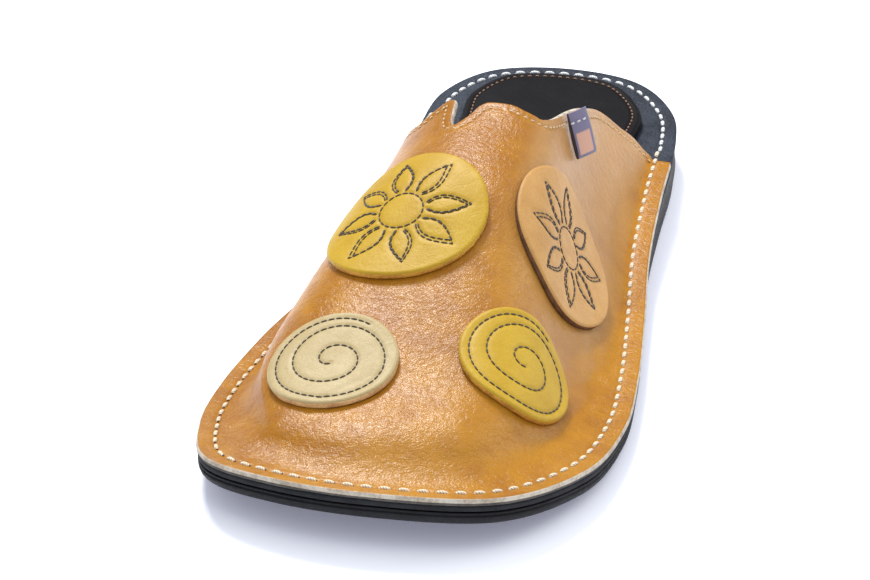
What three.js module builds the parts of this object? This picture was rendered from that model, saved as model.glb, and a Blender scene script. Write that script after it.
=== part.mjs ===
// Slip-on leather slipper for the left foot, standing on its sole.
// Millimetres, +Z up, toe toward -Y, big toe side toward -X. The origin lies on the floor
// under the middle of the sole. The inner side is the big toe side, the outer side the other.

import * as THREE from 'three'
import { mergeVertices } from 'three/addons/utils/BufferGeometryUtils.js'

const { clamp, degToRad, lerp, smoothstep } = THREE.MathUtils

// Sole
const LENGTH = 257                 // rim of the sole, heel to toe
const BALL_WIDTH = 103             // rim of the sole, widest across the ball of the foot
const OUTSOLE_FORE = 3.8           // outsole thickness under the ball and the toes
const OUTSOLE_HEEL = 11.5          // outsole thickness under the heel
const OUTSOLE_ROUND = 2.6          // how far the outsole's lower edge is rounded under
const TOE_SPRING = 8               // lift of the toe above the floor
const MIDSOLE = 1.5                // leather board between outsole and upper
const INSOLE = 2.6                 // padded sock that the foot stands on
const INSOLE_ROUND = 1             // rounding of the sock's top edge
const INSOLE_MARGIN_HEEL = 10      // bare midsole round the sock at the heel
const INSOLE_MARGIN_INNER = 11.3   // the same inside the upper, along its inner side
const INSOLE_MARGIN_OUTER = 12     // and along its outer side
const INSOLE_MARGIN_TOE = 19.5     // and round the toes

// Upper
const UPPER_WALL = 1.8             // leather of the upper
const FLANGE = 9                   // flat margin of the upper, sewn down round the sole
const FLANGE_BEND = 3.5            // part of that margin that already bends upward
const INSTEP_HEIGHT = 54           // ridge of the last at the collar end, above the flange
const COLLAR_END = LENGTH * 0.307  // how far behind the middle the upper could reach
const RIDGE_FRONT = LENGTH * 0.311 // how far before the middle its ridge ends, over the toes

// Ornaments and label
const DISC_THICKNESS = 1.8
const FLOWER_DIAMETER = 44
const SPIRAL_DIAMETER = 33
const LABEL_WIDTH = 6
const LABEL_LENGTH = 13
const LABEL_THICKNESS = 1.6
const LABEL_OVERHANG = 1
const LABEL_TURN = 45              // degrees its face is turned toward the toe

const CLEARANCE = 0.3              // gap between pieces that lie on each other

// How finely the curved faces are cut
const RIM_STEPS = 40               // ribs across the sole
const SIDE_COLUMNS = 20            // columns of the upper between collar and toe, each side
const TOE_COLUMNS = 12             // columns of the upper that fan round the toe
const DISC_SECTORS = 32
const DISC_RINGS = 6
const WALK_STEP = 3                // longest step when a length is paced out on the upper

// A table: named columns first, then one row after another
const table = (columns, ...rows) =>
  rows.map(row => Object.fromEntries(columns.map((name, i) => [name, row[i]])))

// Rim of the sole from above, from the heel round the outer side, the toe and the inner side.
// along: share of LENGTH from the heel. across: share of BALL_WIDTH, plus to the outer side.
const RIM = table(['along', 'across'],
  [0.0000, -0.050],  // back of the heel
  [0.0175, 0.150],
  [0.0890, 0.287],
  [0.1850, 0.336],
  [0.3050, 0.359],   // outer waist
  [0.4200, 0.386],
  [0.5400, 0.435],
  [0.6600, 0.480],
  [0.7650, 0.500],   // little toe
  [0.8740, 0.462],
  [0.9690, 0.305],
  [1.0000, 0.020],   // front of the toe
  [0.9950, -0.223],
  [0.9630, -0.405],
  [0.8770, -0.483],  // big toe
  [0.7760, -0.500],  // ball
  [0.6710, -0.475],
  [0.5540, -0.417],
  [0.4380, -0.369],  // arch
  [0.3130, -0.356],
  [0.1890, -0.373],
  [0.0950, -0.361],
  [0.0250, -0.257])

// Shares of LENGTH from the heel where the sole changes
const WEDGE_START = 0.22           // the thick heel begins to thin out
const WEDGE_END = 0.58             // and has reached the thickness of the forefoot
const SPRING_START = 0.70          // the sole leaves the floor toward the toe
const SPRING_POWER = 1.8

// Ridge of the last from the collar end to the toe. along: share of the way. across: share
// of BALL_WIDTH, plus to the outer side. height: share of INSTEP_HEIGHT above the flange.
const RIDGE = table(['along', 'across', 'height'],
  [0.000, 0.015, 1.000],
  [0.245, 0.029, 0.954],
  [0.434, 0.010, 0.867],
  [0.623, -0.005, 0.811],
  [0.811, 0.000, 0.578],
  [1.000, 0.020, 0.333])

// Sections of the last, round the rim from the inner collar end over the toe to the outer.
// round: share of that way. lean: angle of the wall in degrees. inset: how much further in
// than the flange the wall stands at its height, as a share of FLANGE. height: height of
// that wall as a share of the ridge's. belly, crown: fullness above the wall and at the top.
const SECTIONS = table(['round', 'lean', 'inset', 'height', 'belly', 'crown'],
  [0.00, 62, 0.111, 0.38, 0.60, 0.54],
  [0.06, 76, -0.044, 0.39, 0.62, 0.54],
  [0.12, 80, -0.044, 0.40, 0.62, 0.54],
  [0.22, 85, 0.167, 0.36, 0.50, 0.44],
  [0.32, 77, 0.333, 0.39, 0.38, 0.54],
  [0.42, 43, 0.944, 0.22, 0.36, 0.42],
  [0.50, 36, 0.833, 0.32, 0.45, 0.50],
  [0.60, 46, 1.000, 0.28, 0.52, 0.66],
  [0.72, 54, 1.000, 0.23, 0.56, 0.74],
  [0.86, 58, 0.500, 0.21, 0.62, 0.79],
  [1.00, 56, 0.500, 0.21, 0.62, 0.78])

// A rib of the upper runs up from the rim (rise 0) over the bend (rise FLAT_RISE) and the
// wall (rise WALL_RISE) to the ridge (rise 1)
const FLAT_RISE = 0.14
const WALL_RISE = 0.36

// Where the toe's fan of ribs begins and ends, as shares of the way round the rim
const FAN = { inner: 0.425, outer: 0.600 }

// Collar: where the upper ends behind, as a share of each side's way from collar end to toe,
// at each rise. The inner side carries the notch beside the instep.
const COLLAR = {
  inner: table(['rise', 'back'],
    [0.000, 0.027], [0.140, 0.026], [0.200, 0.030], [0.245, 0.046], [0.306, 0.100],
    [0.360, 0.205], [0.450, 0.275], [0.560, 0.315], [0.657, 0.332], [0.720, 0.324],
    [0.780, 0.314], [0.808, 0.318], [0.822, 0.340], [0.840, 0.367], [0.864, 0.379],
    [0.888, 0.370], [0.910, 0.358], [0.930, 0.340], [0.960, 0.333], [1.000, 0.333]),
  outer: table(['rise', 'back'],
    [0.000, 0.047], [0.117, 0.043], [0.174, 0.033], [0.250, 0.040], [0.300, 0.048],
    [0.368, 0.074], [0.435, 0.109], [0.508, 0.166], [0.600, 0.232], [0.700, 0.289],
    [0.760, 0.317], [0.800, 0.332], [0.850, 0.342], [0.912, 0.340], [0.965, 0.334],
    [1.000, 0.333])
}

// Rows of the upper's grid: up to each rise in so many equal steps
const RISES = table(['rise', 'steps'],
  [FLAT_RISE, 2], [WALL_RISE, 5], [0.82, 7], [0.97, 9], [1, 1])

// Places on the upper. side and way: where along that side, 0 at the collar end, 1 at the
// fan. rise: how far up the rib.
const FLOWER_INNER = { side: 'inner', way: 0.567, rise: 0.830 }
const FLOWER_OUTER = { side: 'outer', way: 0.490, rise: 0.508 }
const SPIRAL_INNER = { side: 'inner', way: 0.864, rise: 0.736 }
const SPIRAL_OUTER = { side: 'outer', way: 0.797, rise: 0.608 }
const LABEL_TOP = { side: 'outer', way: 0.266, rise: 0.655 }
const LABEL_FOOT = { side: 'outer', way: 0.271, rise: 0.505 }

// Monotone cubic curve through two columns of a table, with no swing between the rows
function curveThrough(rows, from, to) {
  const x = rows.map(row => row[from])
  const y = rows.map(row => row[to])
  const step = x.slice(1).map((value, i) => value - x[i])
  const grade = step.map((width, i) => (y[i + 1] - y[i]) / width)
  const endSlope = (h0, h1, g0, g1) => {
    const slope = ((2 * h0 + h1) * g0 - h0 * g1) / (h0 + h1)
    if (slope * g0 <= 0) return 0
    return g0 * g1 < 0 && Math.abs(slope) > 3 * Math.abs(g0) ? 3 * g0 : slope
  }
  const last = step.length - 1
  const slopes = x.map((_, i) => {
    if (i === 0) return endSlope(step[0], step[1], grade[0], grade[1])
    if (i > last) return endSlope(step[last], step[last - 1], grade[last], grade[last - 1])
    if (grade[i - 1] * grade[i] <= 0) return 0
    const a = 2 * step[i] + step[i - 1]
    const b = step[i] + 2 * step[i - 1]
    return (a + b) / (a / grade[i - 1] + b / grade[i])
  })
  return at => {
    const v = clamp(at, x[0], x[last + 1])
    const found = x.findIndex((value, k) => k > 0 && v <= value)
    const i = found - 1
    const t = (v - x[i]) / step[i]
    const t2 = t * t
    const t3 = t2 * t
    return (2 * t3 - 3 * t2 + 1) * y[i] + (t3 - 2 * t2 + t) * step[i] * slopes[i] +
      (3 * t2 - 2 * t3) * y[i + 1] + (t3 - t2) * step[i] * slopes[i + 1]
  }
}

// A polyline that can be asked for the point at a share of its length
function measured(points) {
  const reach = [0]
  for (let i = 1; i < points.length; i++) reach.push(reach[i - 1] + points[i].distanceTo(points[i - 1]))
  const total = reach[reach.length - 1]
  const at = length => {
    const goal = clamp(length, 0, total)
    let low = 0
    let high = reach.length - 1
    while (high - low > 1) {
      const middle = (low + high) >> 1
      if (reach[middle] <= goal) low = middle
      else high = middle
    }
    const part = (goal - reach[low]) / Math.max(reach[high] - reach[low], 1e-9)
    return points[low].clone().lerp(points[high], part)
  }
  return { reach, total, at }
}

// Heights of the sole at a place along it
const soleShare = y => clamp(0.5 - y / LENGTH, 0, 1)
const ground = y =>
  TOE_SPRING * (Math.max(soleShare(y) - SPRING_START, 0) / (1 - SPRING_START)) ** SPRING_POWER
const outsoleTop = y =>
  ground(y) + lerp(OUTSOLE_HEEL, OUTSOLE_FORE, smoothstep(soleShare(y), WEDGE_START, WEDGE_END))
const midsoleBottom = y => outsoleTop(y) + CLEARANCE
const deck = y => midsoleBottom(y) + MIDSOLE
const flangeTop = y => deck(y) + CLEARANCE + UPPER_WALL

// Rim of the sole as a smooth closed line, and the outward direction along it
const RIM_FINENESS = 40
const rimPoints = new THREE.CatmullRomCurve3(
  RIM.map(row => new THREE.Vector3(row.across * BALL_WIDTH, (0.5 - row.along) * LENGTH, 0)),
  true, 'centripetal').getPoints(RIM.length * RIM_FINENESS)
const rim = measured(rimPoints)
const TANGENT_REACH = 2
function rimFrame(share) {
  const wrap = length => (length + rim.total) % rim.total
  const along = share * rim.total
  const tangent = rim.at(wrap(along + TANGENT_REACH)).sub(rim.at(wrap(along - TANGENT_REACH))).normalize()
  return { point: rim.at(along), out: new THREE.Vector3(-tangent.y, tangent.x, 0) }
}
const rimShareWhere = test => rim.reach[rimPoints.findIndex(test)] / rim.total
const TOE_SHARE = rimShareWhere(p => p.y === Math.min(...rimPoints.map(q => q.y)))
const OUTER_END_SHARE = rimShareWhere(p => p.y < COLLAR_END)
const INNER_END_SHARE = rimShareWhere((p, i) =>
  p.y > COLLAR_END && rim.reach[i] > TOE_SHARE * rim.total)

// Outline of the upper and its inward direction, round from the inner to the outer side
function upperRim(round) {
  const { point, out } = rimFrame(lerp(INNER_END_SHARE, OUTER_END_SHARE, round))
  return { point, inward: out.negate() }
}

const ridgeAcross = curveThrough(RIDGE, 'along', 'across')
const ridgeHeight = curveThrough(RIDGE, 'along', 'height')
const [lean, inset, wallHeight, belly, crown] =
  ['lean', 'inset', 'height', 'belly', 'crown'].map(name => curveThrough(SECTIONS, 'round', name))

// Where a rib meets the ridge: the ribs turn slowly toward the ridge's front end
const RIDGE_EASE = 4
function ridgeShare(round) {
  const way = clamp(round < 0.5 ? round / FAN.inner : (1 - round) / (1 - FAN.outer), 0, 1)
  return (way - way ** RIDGE_EASE / RIDGE_EASE) / (1 - 1 / RIDGE_EASE)
}

const bezier = (a, b, c, d, t) => {
  const s = 1 - t
  return s * s * s * a + 3 * s * s * t * b + 3 * s * t * t * c + t * t * t * d
}

// One rib of the last: its plan line from rim to ridge and the sizes of its section. Grade is
// the slope at which it reaches the ridge, where it runs partly along it.
const RIB_PULL = 0.33              // how far each end of the plan line keeps its direction
const RIB_STEPS = 32
const RADIAL_FROM = 0.6            // ridge share from which the ribs turn toward the toe
const GRADE_STEP = 0.01            // ridge share over which its own slope is taken
const ribs = new Map()
function rib(round) {
  if (ribs.has(round)) return ribs.get(round)
  const { point: foot, inward } = upperRim(round)
  const share = ridgeShare(round)
  const top = new THREE.Vector3(ridgeAcross(share) * BALL_WIDTH, lerp(COLLAR_END, -RIDGE_FRONT, share), 0)
  const reach = top.clone().sub(foot)
  const pull = reach.length() * RIB_PULL
  const radial = smoothstep(share, RADIAL_FROM, 1)
  const across = new THREE.Vector3(round < 0.5 ? 1 : -1, 0, 0)
  const arrival = across.multiplyScalar(1 - radial).addScaledVector(reach.normalize(), radial).normalize()
  const plan = new THREE.CubicBezierCurve3(
    foot, foot.clone().addScaledVector(inward, pull), top.clone().addScaledVector(arrival, -pull), top)
  const line = measured(plan.getPoints(RIB_STEPS))
  const height = ridgeHeight(share) * INSTEP_HEIGHT
  const rise = ridgeHeight(share - GRADE_STEP) * INSTEP_HEIGHT - height
  const made = {
    line,
    height,
    grade: arrival.y * rise / (GRADE_STEP * (COLLAR_END + RIDGE_FRONT)),
    flat: FLANGE - FLANGE_BEND,
    wallInset: FLANGE * (1 + inset(round)),
    wallHeight: height * wallHeight(round),
    lean: degToRad(lean(round)),
    belly: belly(round),
    crown: crown(round)
  }
  ribs.set(round, made)
  return made
}

// Outer face of the upper: round goes round the rim, rise goes up the rib
const BEND_ROUND = 0.6             // how far the bend is rounded from the corner of its tangents
const BEND_LEAST = 2               // least length of the tangent on the flange
function upperPoint(round, rise) {
  const r = rib(round)
  const slope = { x: Math.cos(r.lean), z: Math.sin(r.lean) }
  let depth = r.flat * rise / FLAT_RISE
  let height = 0
  if (rise > WALL_RISE) {
    const t = (rise - WALL_RISE) / (1 - WALL_RISE)
    const full = (r.height - r.wallHeight) * r.belly / Math.max(slope.z, 0.5)
    const crownLength = (r.line.total - r.wallInset) * r.crown
    depth = bezier(r.wallInset, r.wallInset + slope.x * full, r.line.total - crownLength, r.line.total, t)
    height = bezier(r.wallHeight, r.wallHeight + slope.z * full,
      r.height - r.grade * crownLength, r.height, t)
  } else if (rise > FLAT_RISE) {
    const t = (rise - FLAT_RISE) / (WALL_RISE - FLAT_RISE)
    const wallLength = r.wallHeight / slope.z
    const flatLength = Math.max(r.wallInset - r.flat - slope.x * wallLength, BEND_LEAST)
    depth = bezier(r.flat, r.flat + flatLength * BEND_ROUND,
      r.wallInset - slope.x * wallLength * BEND_ROUND, r.wallInset, t)
    height = bezier(0, 0, r.wallHeight * (1 - BEND_ROUND), r.wallHeight, t)
  }
  const point = r.line.at(depth)
  return point.setZ(flangeTop(point.y) + height)
}

// Column of the upper as a share of the way round, from its share of one side's way
const roundOf = (side, way) => side === 'inner' ? way * FAN.inner : 1 - way * (1 - FAN.outer)
const collarBack = {
  inner: curveThrough(COLLAR.inner, 'rise', 'back'),
  outer: curveThrough(COLLAR.outer, 'rise', 'back')
}

// Corners and triangles of a surface, with equal corners joined and empty triangles left out
const WELD = 1e-4
function joined(faces) {
  const soup = new THREE.BufferGeometry()
  const numbers = faces.flatMap(corners => corners.flatMap(p => [p.x, p.y, p.z]))
  soup.setAttribute('position', new THREE.Float32BufferAttribute(numbers, 3))
  const { attributes: { position }, index } = mergeVertices(soup, WELD)
  const points = Array.from({ length: position.count }, (_, i) =>
    new THREE.Vector3().fromBufferAttribute(position, i))
  const triangles = Array.from({ length: index.count / 3 }, (_, i) =>
    [0, 1, 2].map(k => index.getX(3 * i + k)))
  return { points, triangles: triangles.filter(([a, b, c]) => a !== b && b !== c && c !== a) }
}

// A closed body from its faces, all turned outward
function closedSolid(faces) {
  const { points, triangles } = joined(faces)
  const volume = triangles.reduce((sum, [a, b, c]) =>
    sum + points[a].dot(points[b].clone().cross(points[c])), 0)
  const solid = new THREE.BufferGeometry().setFromPoints(points)
  solid.setIndex(triangles.flatMap(([a, b, c]) => volume < 0 ? [a, c, b] : [a, b, c]))
  solid.computeVertexNormals()
  return solid
}

// A surface that faces outward, given a wall on its inner side and a cut edge all round
function walled(faces, wall) {
  const { points, triangles } = joined(faces)
  const normals = points.map(() => new THREE.Vector3())
  for (const corners of triangles) {
    const [a, b, c] = corners.map(i => points[i])
    const normal = b.clone().sub(a).cross(c.clone().sub(a))
    corners.forEach(i => normals[i].add(normal))
  }
  const inner = points.map((p, i) => p.clone().addScaledVector(normals[i].normalize(), -wall))
  const sides = triangles.flatMap(([a, b, c]) => [[a, b], [b, c], [c, a]])
  const known = new Set(sides.map(([a, b]) => `${a} ${b}`))
  const edges = sides.filter(([a, b]) => !known.has(`${b} ${a}`))
  return closedSolid([
    ...triangles.map(corners => corners.map(i => points[i])),
    ...triangles.map(([a, b, c]) => [inner[a], inner[c], inner[b]]),
    ...edges.flatMap(([a, b]) => [
      [points[b], points[a], inner[a]],
      [points[b], inner[a], inner[b]]])])
}

// Two triangles for each cell of a grid of points, grid[column][row]
function gridFaces(grid) {
  const faces = []
  for (let i = 0; i + 1 < grid.length; i++) {
    for (let j = 0; j + 1 < grid[i].length; j++) {
      const [a, b, c, d] = [grid[i][j], grid[i + 1][j], grid[i + 1][j + 1], grid[i][j + 1]]
      faces.push([a, b, c], [a, c, d])
    }
  }
  return faces
}

const flipped = faces => faces.map(([a, b, c]) => [a, c, b])

// A flat piece of the sole: rings round the rim from its lower to its upper face, each with
// an inset from the rim and a height, closed below and above by ribs from side to side
const CROSS_SHARES = [0, 0.12, 0.5, 0.88, 1]
function soleSolid(rings) {
  const ringPoint = (ring, share) => {
    const { point, out } = rimFrame(share)
    point.addScaledVector(out, -ring.inset(point))
    return point.setZ(ring.height(point.y))
  }
  const ribEnds = Array.from({ length: RIM_STEPS + 1 }, (_, i) => {
    const part = i / RIM_STEPS
    return [TOE_SHARE * part, (1 - (1 - TOE_SHARE) * part) % 1]
  })
  const face = ring => gridFaces(ribEnds.map(([outerShare, innerShare]) => {
    const outer = ringPoint(ring, outerShare)
    const inner = ringPoint(ring, innerShare)
    return CROSS_SHARES.map(share => {
      const point = outer.clone().lerp(inner, share)
      return share === 0 || share === 1 ? point : point.setZ(ring.height(point.y))
    })
  }))
  const round = [...ribEnds.map(ends => ends[0]), ...ribEnds.map(ends => ends[1]).reverse().slice(1)]
  const side = gridFaces(round.map(share => rings.map(ring => ringPoint(ring, share))))
  return closedSolid([...face(rings[0]), ...flipped([...side, ...face(rings[rings.length - 1])])])
}

// Outsole: flat under heel and ball, rounded under along its lower edge
function outsole() {
  const edge = (rise, tuck) => ({
    inset: () => OUTSOLE_ROUND * tuck,
    height: y => ground(y) + OUTSOLE_ROUND * rise
  })
  return soleSolid([edge(0, 1), edge(0.3, 0.3), edge(1, 0), { inset: () => 0, height: outsoleTop }])
}

function midsole() {
  return soleSolid([{ inset: () => 0, height: midsoleBottom }, { inset: () => 0, height: deck }])
}

// Sock: it keeps clear of the upper's wall, which comes further in round the toes
const SOCK_DRAW_IN = 20            // length over which its edge draws in, up to the collar's end
function insole() {
  const margin = ({ x, y }) => {
    const outward = smoothstep(x / BALL_WIDTH, -0.25, 0.25)
    const beside = lerp(INSOLE_MARGIN_INNER, INSOLE_MARGIN_OUTER, outward)
    const inside = smoothstep(COLLAR_END + SOCK_DRAW_IN - y, 0, SOCK_DRAW_IN)
    const covered = lerp(INSOLE_MARGIN_HEEL, beside, inside)
    const toeStart = lerp(WEDGE_END, WEDGE_START, outward)
    return lerp(covered, INSOLE_MARGIN_TOE, smoothstep(soleShare(y), toeStart, 1))
  }
  const seat = y => deck(y) + CLEARANCE
  return soleSolid([
    { inset: margin, height: seat },
    { inset: margin, height: y => seat(y) + INSOLE - INSOLE_ROUND },
    { inset: point => margin(point) + INSOLE_ROUND, height: y => seat(y) + INSOLE }])
}

// Upper: one sheet of leather over the last, open at the collar and underneath
const NOTCH_FADE = 2               // how quickly the columns ahead forget the collar's shape
function upper() {
  const rises = RISES.reduce((list, { rise, steps }) => {
    const from = list[list.length - 1]
    return [...list, ...Array.from({ length: steps }, (_, i) => lerp(from, rise, (i + 1) / steps))]
  }, [0])
  const sideColumn = (side, part) => rises.map(rise =>
    upperPoint(roundOf(side, part + collarBack[side](rise) * (1 - part) ** NOTCH_FADE), rise))
  const parts = Array.from({ length: SIDE_COLUMNS + 1 }, (_, i) => i / SIDE_COLUMNS)
  const fan = Array.from({ length: TOE_COLUMNS - 1 }, (_, i) =>
    lerp(FAN.inner, FAN.outer, (i + 1) / TOE_COLUMNS))
  const columns = [
    ...parts.map(part => sideColumn('inner', part)),
    ...fan.map(round => rises.map(rise => upperPoint(round, rise))),
    ...parts.toReversed().map(part => sideColumn('outer', part))]
  return walled(gridFaces(columns), UPPER_WALL)
}

// Slopes of the upper's outer face along round and rise, and its outward normal
const PROBE = 1e-3
function upperFrame(round, rise) {
  const rounds = [Math.max(round - PROBE, 0), Math.min(round + PROBE, 1)]
  const rises = [Math.max(rise - PROBE, 0), Math.min(rise + PROBE, 1)]
  const alongRound = upperPoint(rounds[1], rise).sub(upperPoint(rounds[0], rise))
    .divideScalar(rounds[1] - rounds[0])
  const alongRise = upperPoint(round, rises[1]).sub(upperPoint(round, rises[0]))
    .divideScalar(rises[1] - rises[0])
  return { alongRound, alongRise, normal: alongRound.clone().cross(alongRise).normalize() }
}

// The same ridge place reached from the other side
function acrossRidge(round) {
  return round < 0.5
    ? 1 - round / FAN.inner * (1 - FAN.outer)
    : (1 - round) / (1 - FAN.outer) * FAN.inner
}

// Straight walk over the upper's outer face from a place on it, toward the outer side by
// sideways and toward the toe by ahead: the points it passes at each of the given lengths
function walk(place, sideways, ahead, lengths) {
  let round = roundOf(place.side, place.way)
  let rise = place.rise
  let frame = upperFrame(round, rise)
  const toward = new THREE.Vector3(0, -1, 0).projectOnPlane(frame.normal).normalize()
  const beside = frame.normal.clone().cross(toward)
  const heading = beside.multiplyScalar(sideways).addScaledVector(toward, ahead).normalize()
  const passed = []
  let gone = 0
  for (const length of lengths) {
    const steps = Math.ceil((length - gone) / WALK_STEP)
    const step = steps > 0 ? (length - gone) / steps : 0
    for (let i = 0; i < steps; i++) {
      heading.projectOnPlane(frame.normal).normalize()
      const { alongRound: a, alongRise: b } = frame
      const [aa, ab, bb, ha, hb] = [a.dot(a), a.dot(b), b.dot(b), heading.dot(a), heading.dot(b)]
      const scale = step / (aa * bb - ab * ab)
      round = clamp(round + (bb * ha - ab * hb) * scale, 0, 1)
      rise += (aa * hb - ab * ha) * scale
      if (rise > 1) {
        rise = 2 - rise
        round = acrossRidge(round)
      }
      frame = upperFrame(round, rise)
    }
    gone = length
    passed.push({ point: upperPoint(round, rise), normal: frame.normal })
  }
  return passed
}

// Lower and upper face of something thin that lies on the upper
const lifted = ({ point, normal }, height) => point.clone().addScaledVector(normal, height)
function layered(columns, thickness, close) {
  const face = height => gridFaces(columns.map(column => column.map(spot => lifted(spot, height))))
  return closedSolid([
    ...face(CLEARANCE + thickness), ...flipped(face(CLEARANCE)),
    ...close(CLEARANCE, CLEARANCE + thickness)])
}

// Round leather disc sewn on the upper, in rings round its middle
function disc(place, diameter) {
  const lengths = Array.from({ length: DISC_RINGS + 1 }, (_, i) => diameter / 2 * i / DISC_RINGS)
  const spokes = Array.from({ length: DISC_SECTORS }, (_, i) => {
    const angle = 2 * Math.PI * i / DISC_SECTORS
    return walk(place, Math.cos(angle), Math.sin(angle), lengths)
  })
  const ring = [...spokes, spokes[0]]
  return layered(ring, DISC_THICKNESS, (low, high) => gridFaces(ring.map(spoke => {
    const edge = spoke[DISC_RINGS]
    return [lifted(edge, high), lifted(edge, low)]
  })))
}

// Woven label, folded over the collar's edge. It stands off the leather with its front edge
// near it, and its face is turned from the leather toward the toe.
function label() {
  const topRound = roundOf(LABEL_TOP.side, LABEL_TOP.way)
  const top = upperPoint(topRound, LABEL_TOP.rise)
  const foot = upperPoint(roundOf(LABEL_FOOT.side, LABEL_FOOT.way), LABEL_FOOT.rise)
  const down = foot.sub(top).normalize()
  const out = upperFrame(topRound, LABEL_TOP.rise).normal.projectOnPlane(down).normalize()
  const turn = degToRad(LABEL_TURN)
  const face = down.clone().cross(out).multiplyScalar(Math.sin(turn)).addScaledVector(out, Math.cos(turn))
  const aside = face.clone().cross(down)
  const back = top.clone().addScaledVector(out, LABEL_WIDTH / 2 * Math.sin(turn))
  const columns = [-0.5, 0.5].map(across =>
    [-LABEL_OVERHANG, LABEL_LENGTH - LABEL_OVERHANG].map(along => ({
      normal: face,
      point: back.clone().addScaledVector(down, along).addScaledVector(aside, across * LABEL_WIDTH)
    })))
  const round = [...columns[0], ...columns[1].toReversed(), columns[0][0]]
  return layered(columns, LABEL_THICKNESS, (low, high) =>
    gridFaces(round.map(spot => [lifted(spot, high), lifted(spot, low)])))
}

// The slipper
const leather = (color, roughness) => new THREE.MeshStandardMaterial({ color, roughness, metalness: 0 })
const tan = leather(0xc98a3f, 0.45)
const pieces = {
  outsole: [outsole(), leather(0x17171a, 0.8)],
  midsole: [midsole(), leather(0x2a3040, 0.6)],
  insole: [insole(), leather(0x141416, 0.5)],
  upper: [upper(), tan],
  flower_disc_inner: [disc(FLOWER_INNER, FLOWER_DIAMETER), leather(0xeebc3a, 0.5)],
  flower_disc_outer: [disc(FLOWER_OUTER, FLOWER_DIAMETER), leather(0xbd905c, 0.5)],
  spiral_disc_inner: [disc(SPIRAL_INNER, SPIRAL_DIAMETER), leather(0xe9d39a, 0.5)],
  spiral_disc_outer: [disc(SPIRAL_OUTER, SPIRAL_DIAMETER), leather(0xf0bd35, 0.5)],
  label: [label(), leather(0x77708c, 0.8)]
}

const slipper = new THREE.Group()
for (const [name, [shape, material]] of Object.entries(pieces)) {
  const mesh = new THREE.Mesh(shape, material)
  mesh.name = name
  slipper.add(mesh)
}
export default slipper
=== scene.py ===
"""Leather slipper for the left foot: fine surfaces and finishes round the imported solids."""

import bmesh
import bpy
import numpy as np
from mathutils import Matrix, Vector


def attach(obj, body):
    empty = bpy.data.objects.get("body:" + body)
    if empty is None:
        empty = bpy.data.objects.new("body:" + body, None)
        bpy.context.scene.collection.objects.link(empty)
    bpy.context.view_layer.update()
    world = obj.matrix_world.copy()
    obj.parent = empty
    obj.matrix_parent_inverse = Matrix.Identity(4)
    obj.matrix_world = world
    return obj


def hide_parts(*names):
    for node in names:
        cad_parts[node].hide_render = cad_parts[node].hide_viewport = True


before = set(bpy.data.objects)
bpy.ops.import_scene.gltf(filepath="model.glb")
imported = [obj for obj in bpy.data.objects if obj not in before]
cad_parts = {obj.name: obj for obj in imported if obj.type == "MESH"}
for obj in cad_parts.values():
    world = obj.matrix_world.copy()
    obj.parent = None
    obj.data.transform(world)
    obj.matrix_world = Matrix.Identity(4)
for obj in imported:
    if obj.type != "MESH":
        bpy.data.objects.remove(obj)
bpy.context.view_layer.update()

# Sizes in millimetres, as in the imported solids. +Z up, toe toward -Y, big toe side toward -X
MM = 0.001
LENGTH = 257.0
BALL_WIDTH = 103.0
OUTSOLE_FORE = 3.8
OUTSOLE_HEEL = 11.5
OUTSOLE_ROUND = 2.6
TOE_SPRING = 8.0
MIDSOLE = 1.5
INSOLE = 2.6
MARGIN_HEEL = 10.0
MARGIN_INNER = 11.3
MARGIN_OUTER = 12.0
MARGIN_TOE = 19.5
SOCK_DRAW_IN = 20.0
UPPER_WALL = 1.8
FLANGE = 9.0
FLANGE_BEND = 3.5
INSTEP_HEIGHT = 54.0
COLLAR_END = LENGTH * 0.307
RIDGE_FRONT = LENGTH * 0.311
DISC_THICKNESS = 1.8
FLOWER_DIAMETER = 44.0
SPIRAL_DIAMETER = 33.0
LABEL_WIDTH = 6.0
LABEL_LENGTH = 13.0
LABEL_OVERHANG = 1.0
LABEL_TURN = np.radians(45)
CLEARANCE = 0.3
WEDGE = (0.22, 0.58)
SPRING_START = 0.70
SPRING_POWER = 1.8
FLAT_RISE = 0.14
WALL_RISE = 0.36
FAN_INNER = 0.425
FAN_OUTER = 0.600
BEND_ROUND = 0.6
BEND_LEAST = 2.0

# Rim of the sole: share of LENGTH from the heel, share of BALL_WIDTH toward the outer side
RIM = np.array([
    (0.0000, -0.050), (0.0175, 0.150), (0.0890, 0.287), (0.1850, 0.336), (0.3050, 0.359),
    (0.4200, 0.386), (0.5400, 0.435), (0.6600, 0.480), (0.7650, 0.500), (0.8740, 0.462),
    (0.9690, 0.305), (1.0000, 0.020), (0.9950, -0.223), (0.9630, -0.405), (0.8770, -0.483),
    (0.7760, -0.500), (0.6710, -0.475), (0.5540, -0.417), (0.4380, -0.369), (0.3130, -0.356),
    (0.1890, -0.373), (0.0950, -0.361), (0.0250, -0.257)])
# Ridge of the last: share of the way to the toe, share of BALL_WIDTH, share of INSTEP_HEIGHT
RIDGE = np.array([
    (0.000, 0.015, 1.000), (0.245, 0.029, 0.954), (0.434, 0.010, 0.867),
    (0.623, -0.005, 0.811), (0.811, 0.000, 0.578), (1.000, 0.020, 0.333)])
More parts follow.
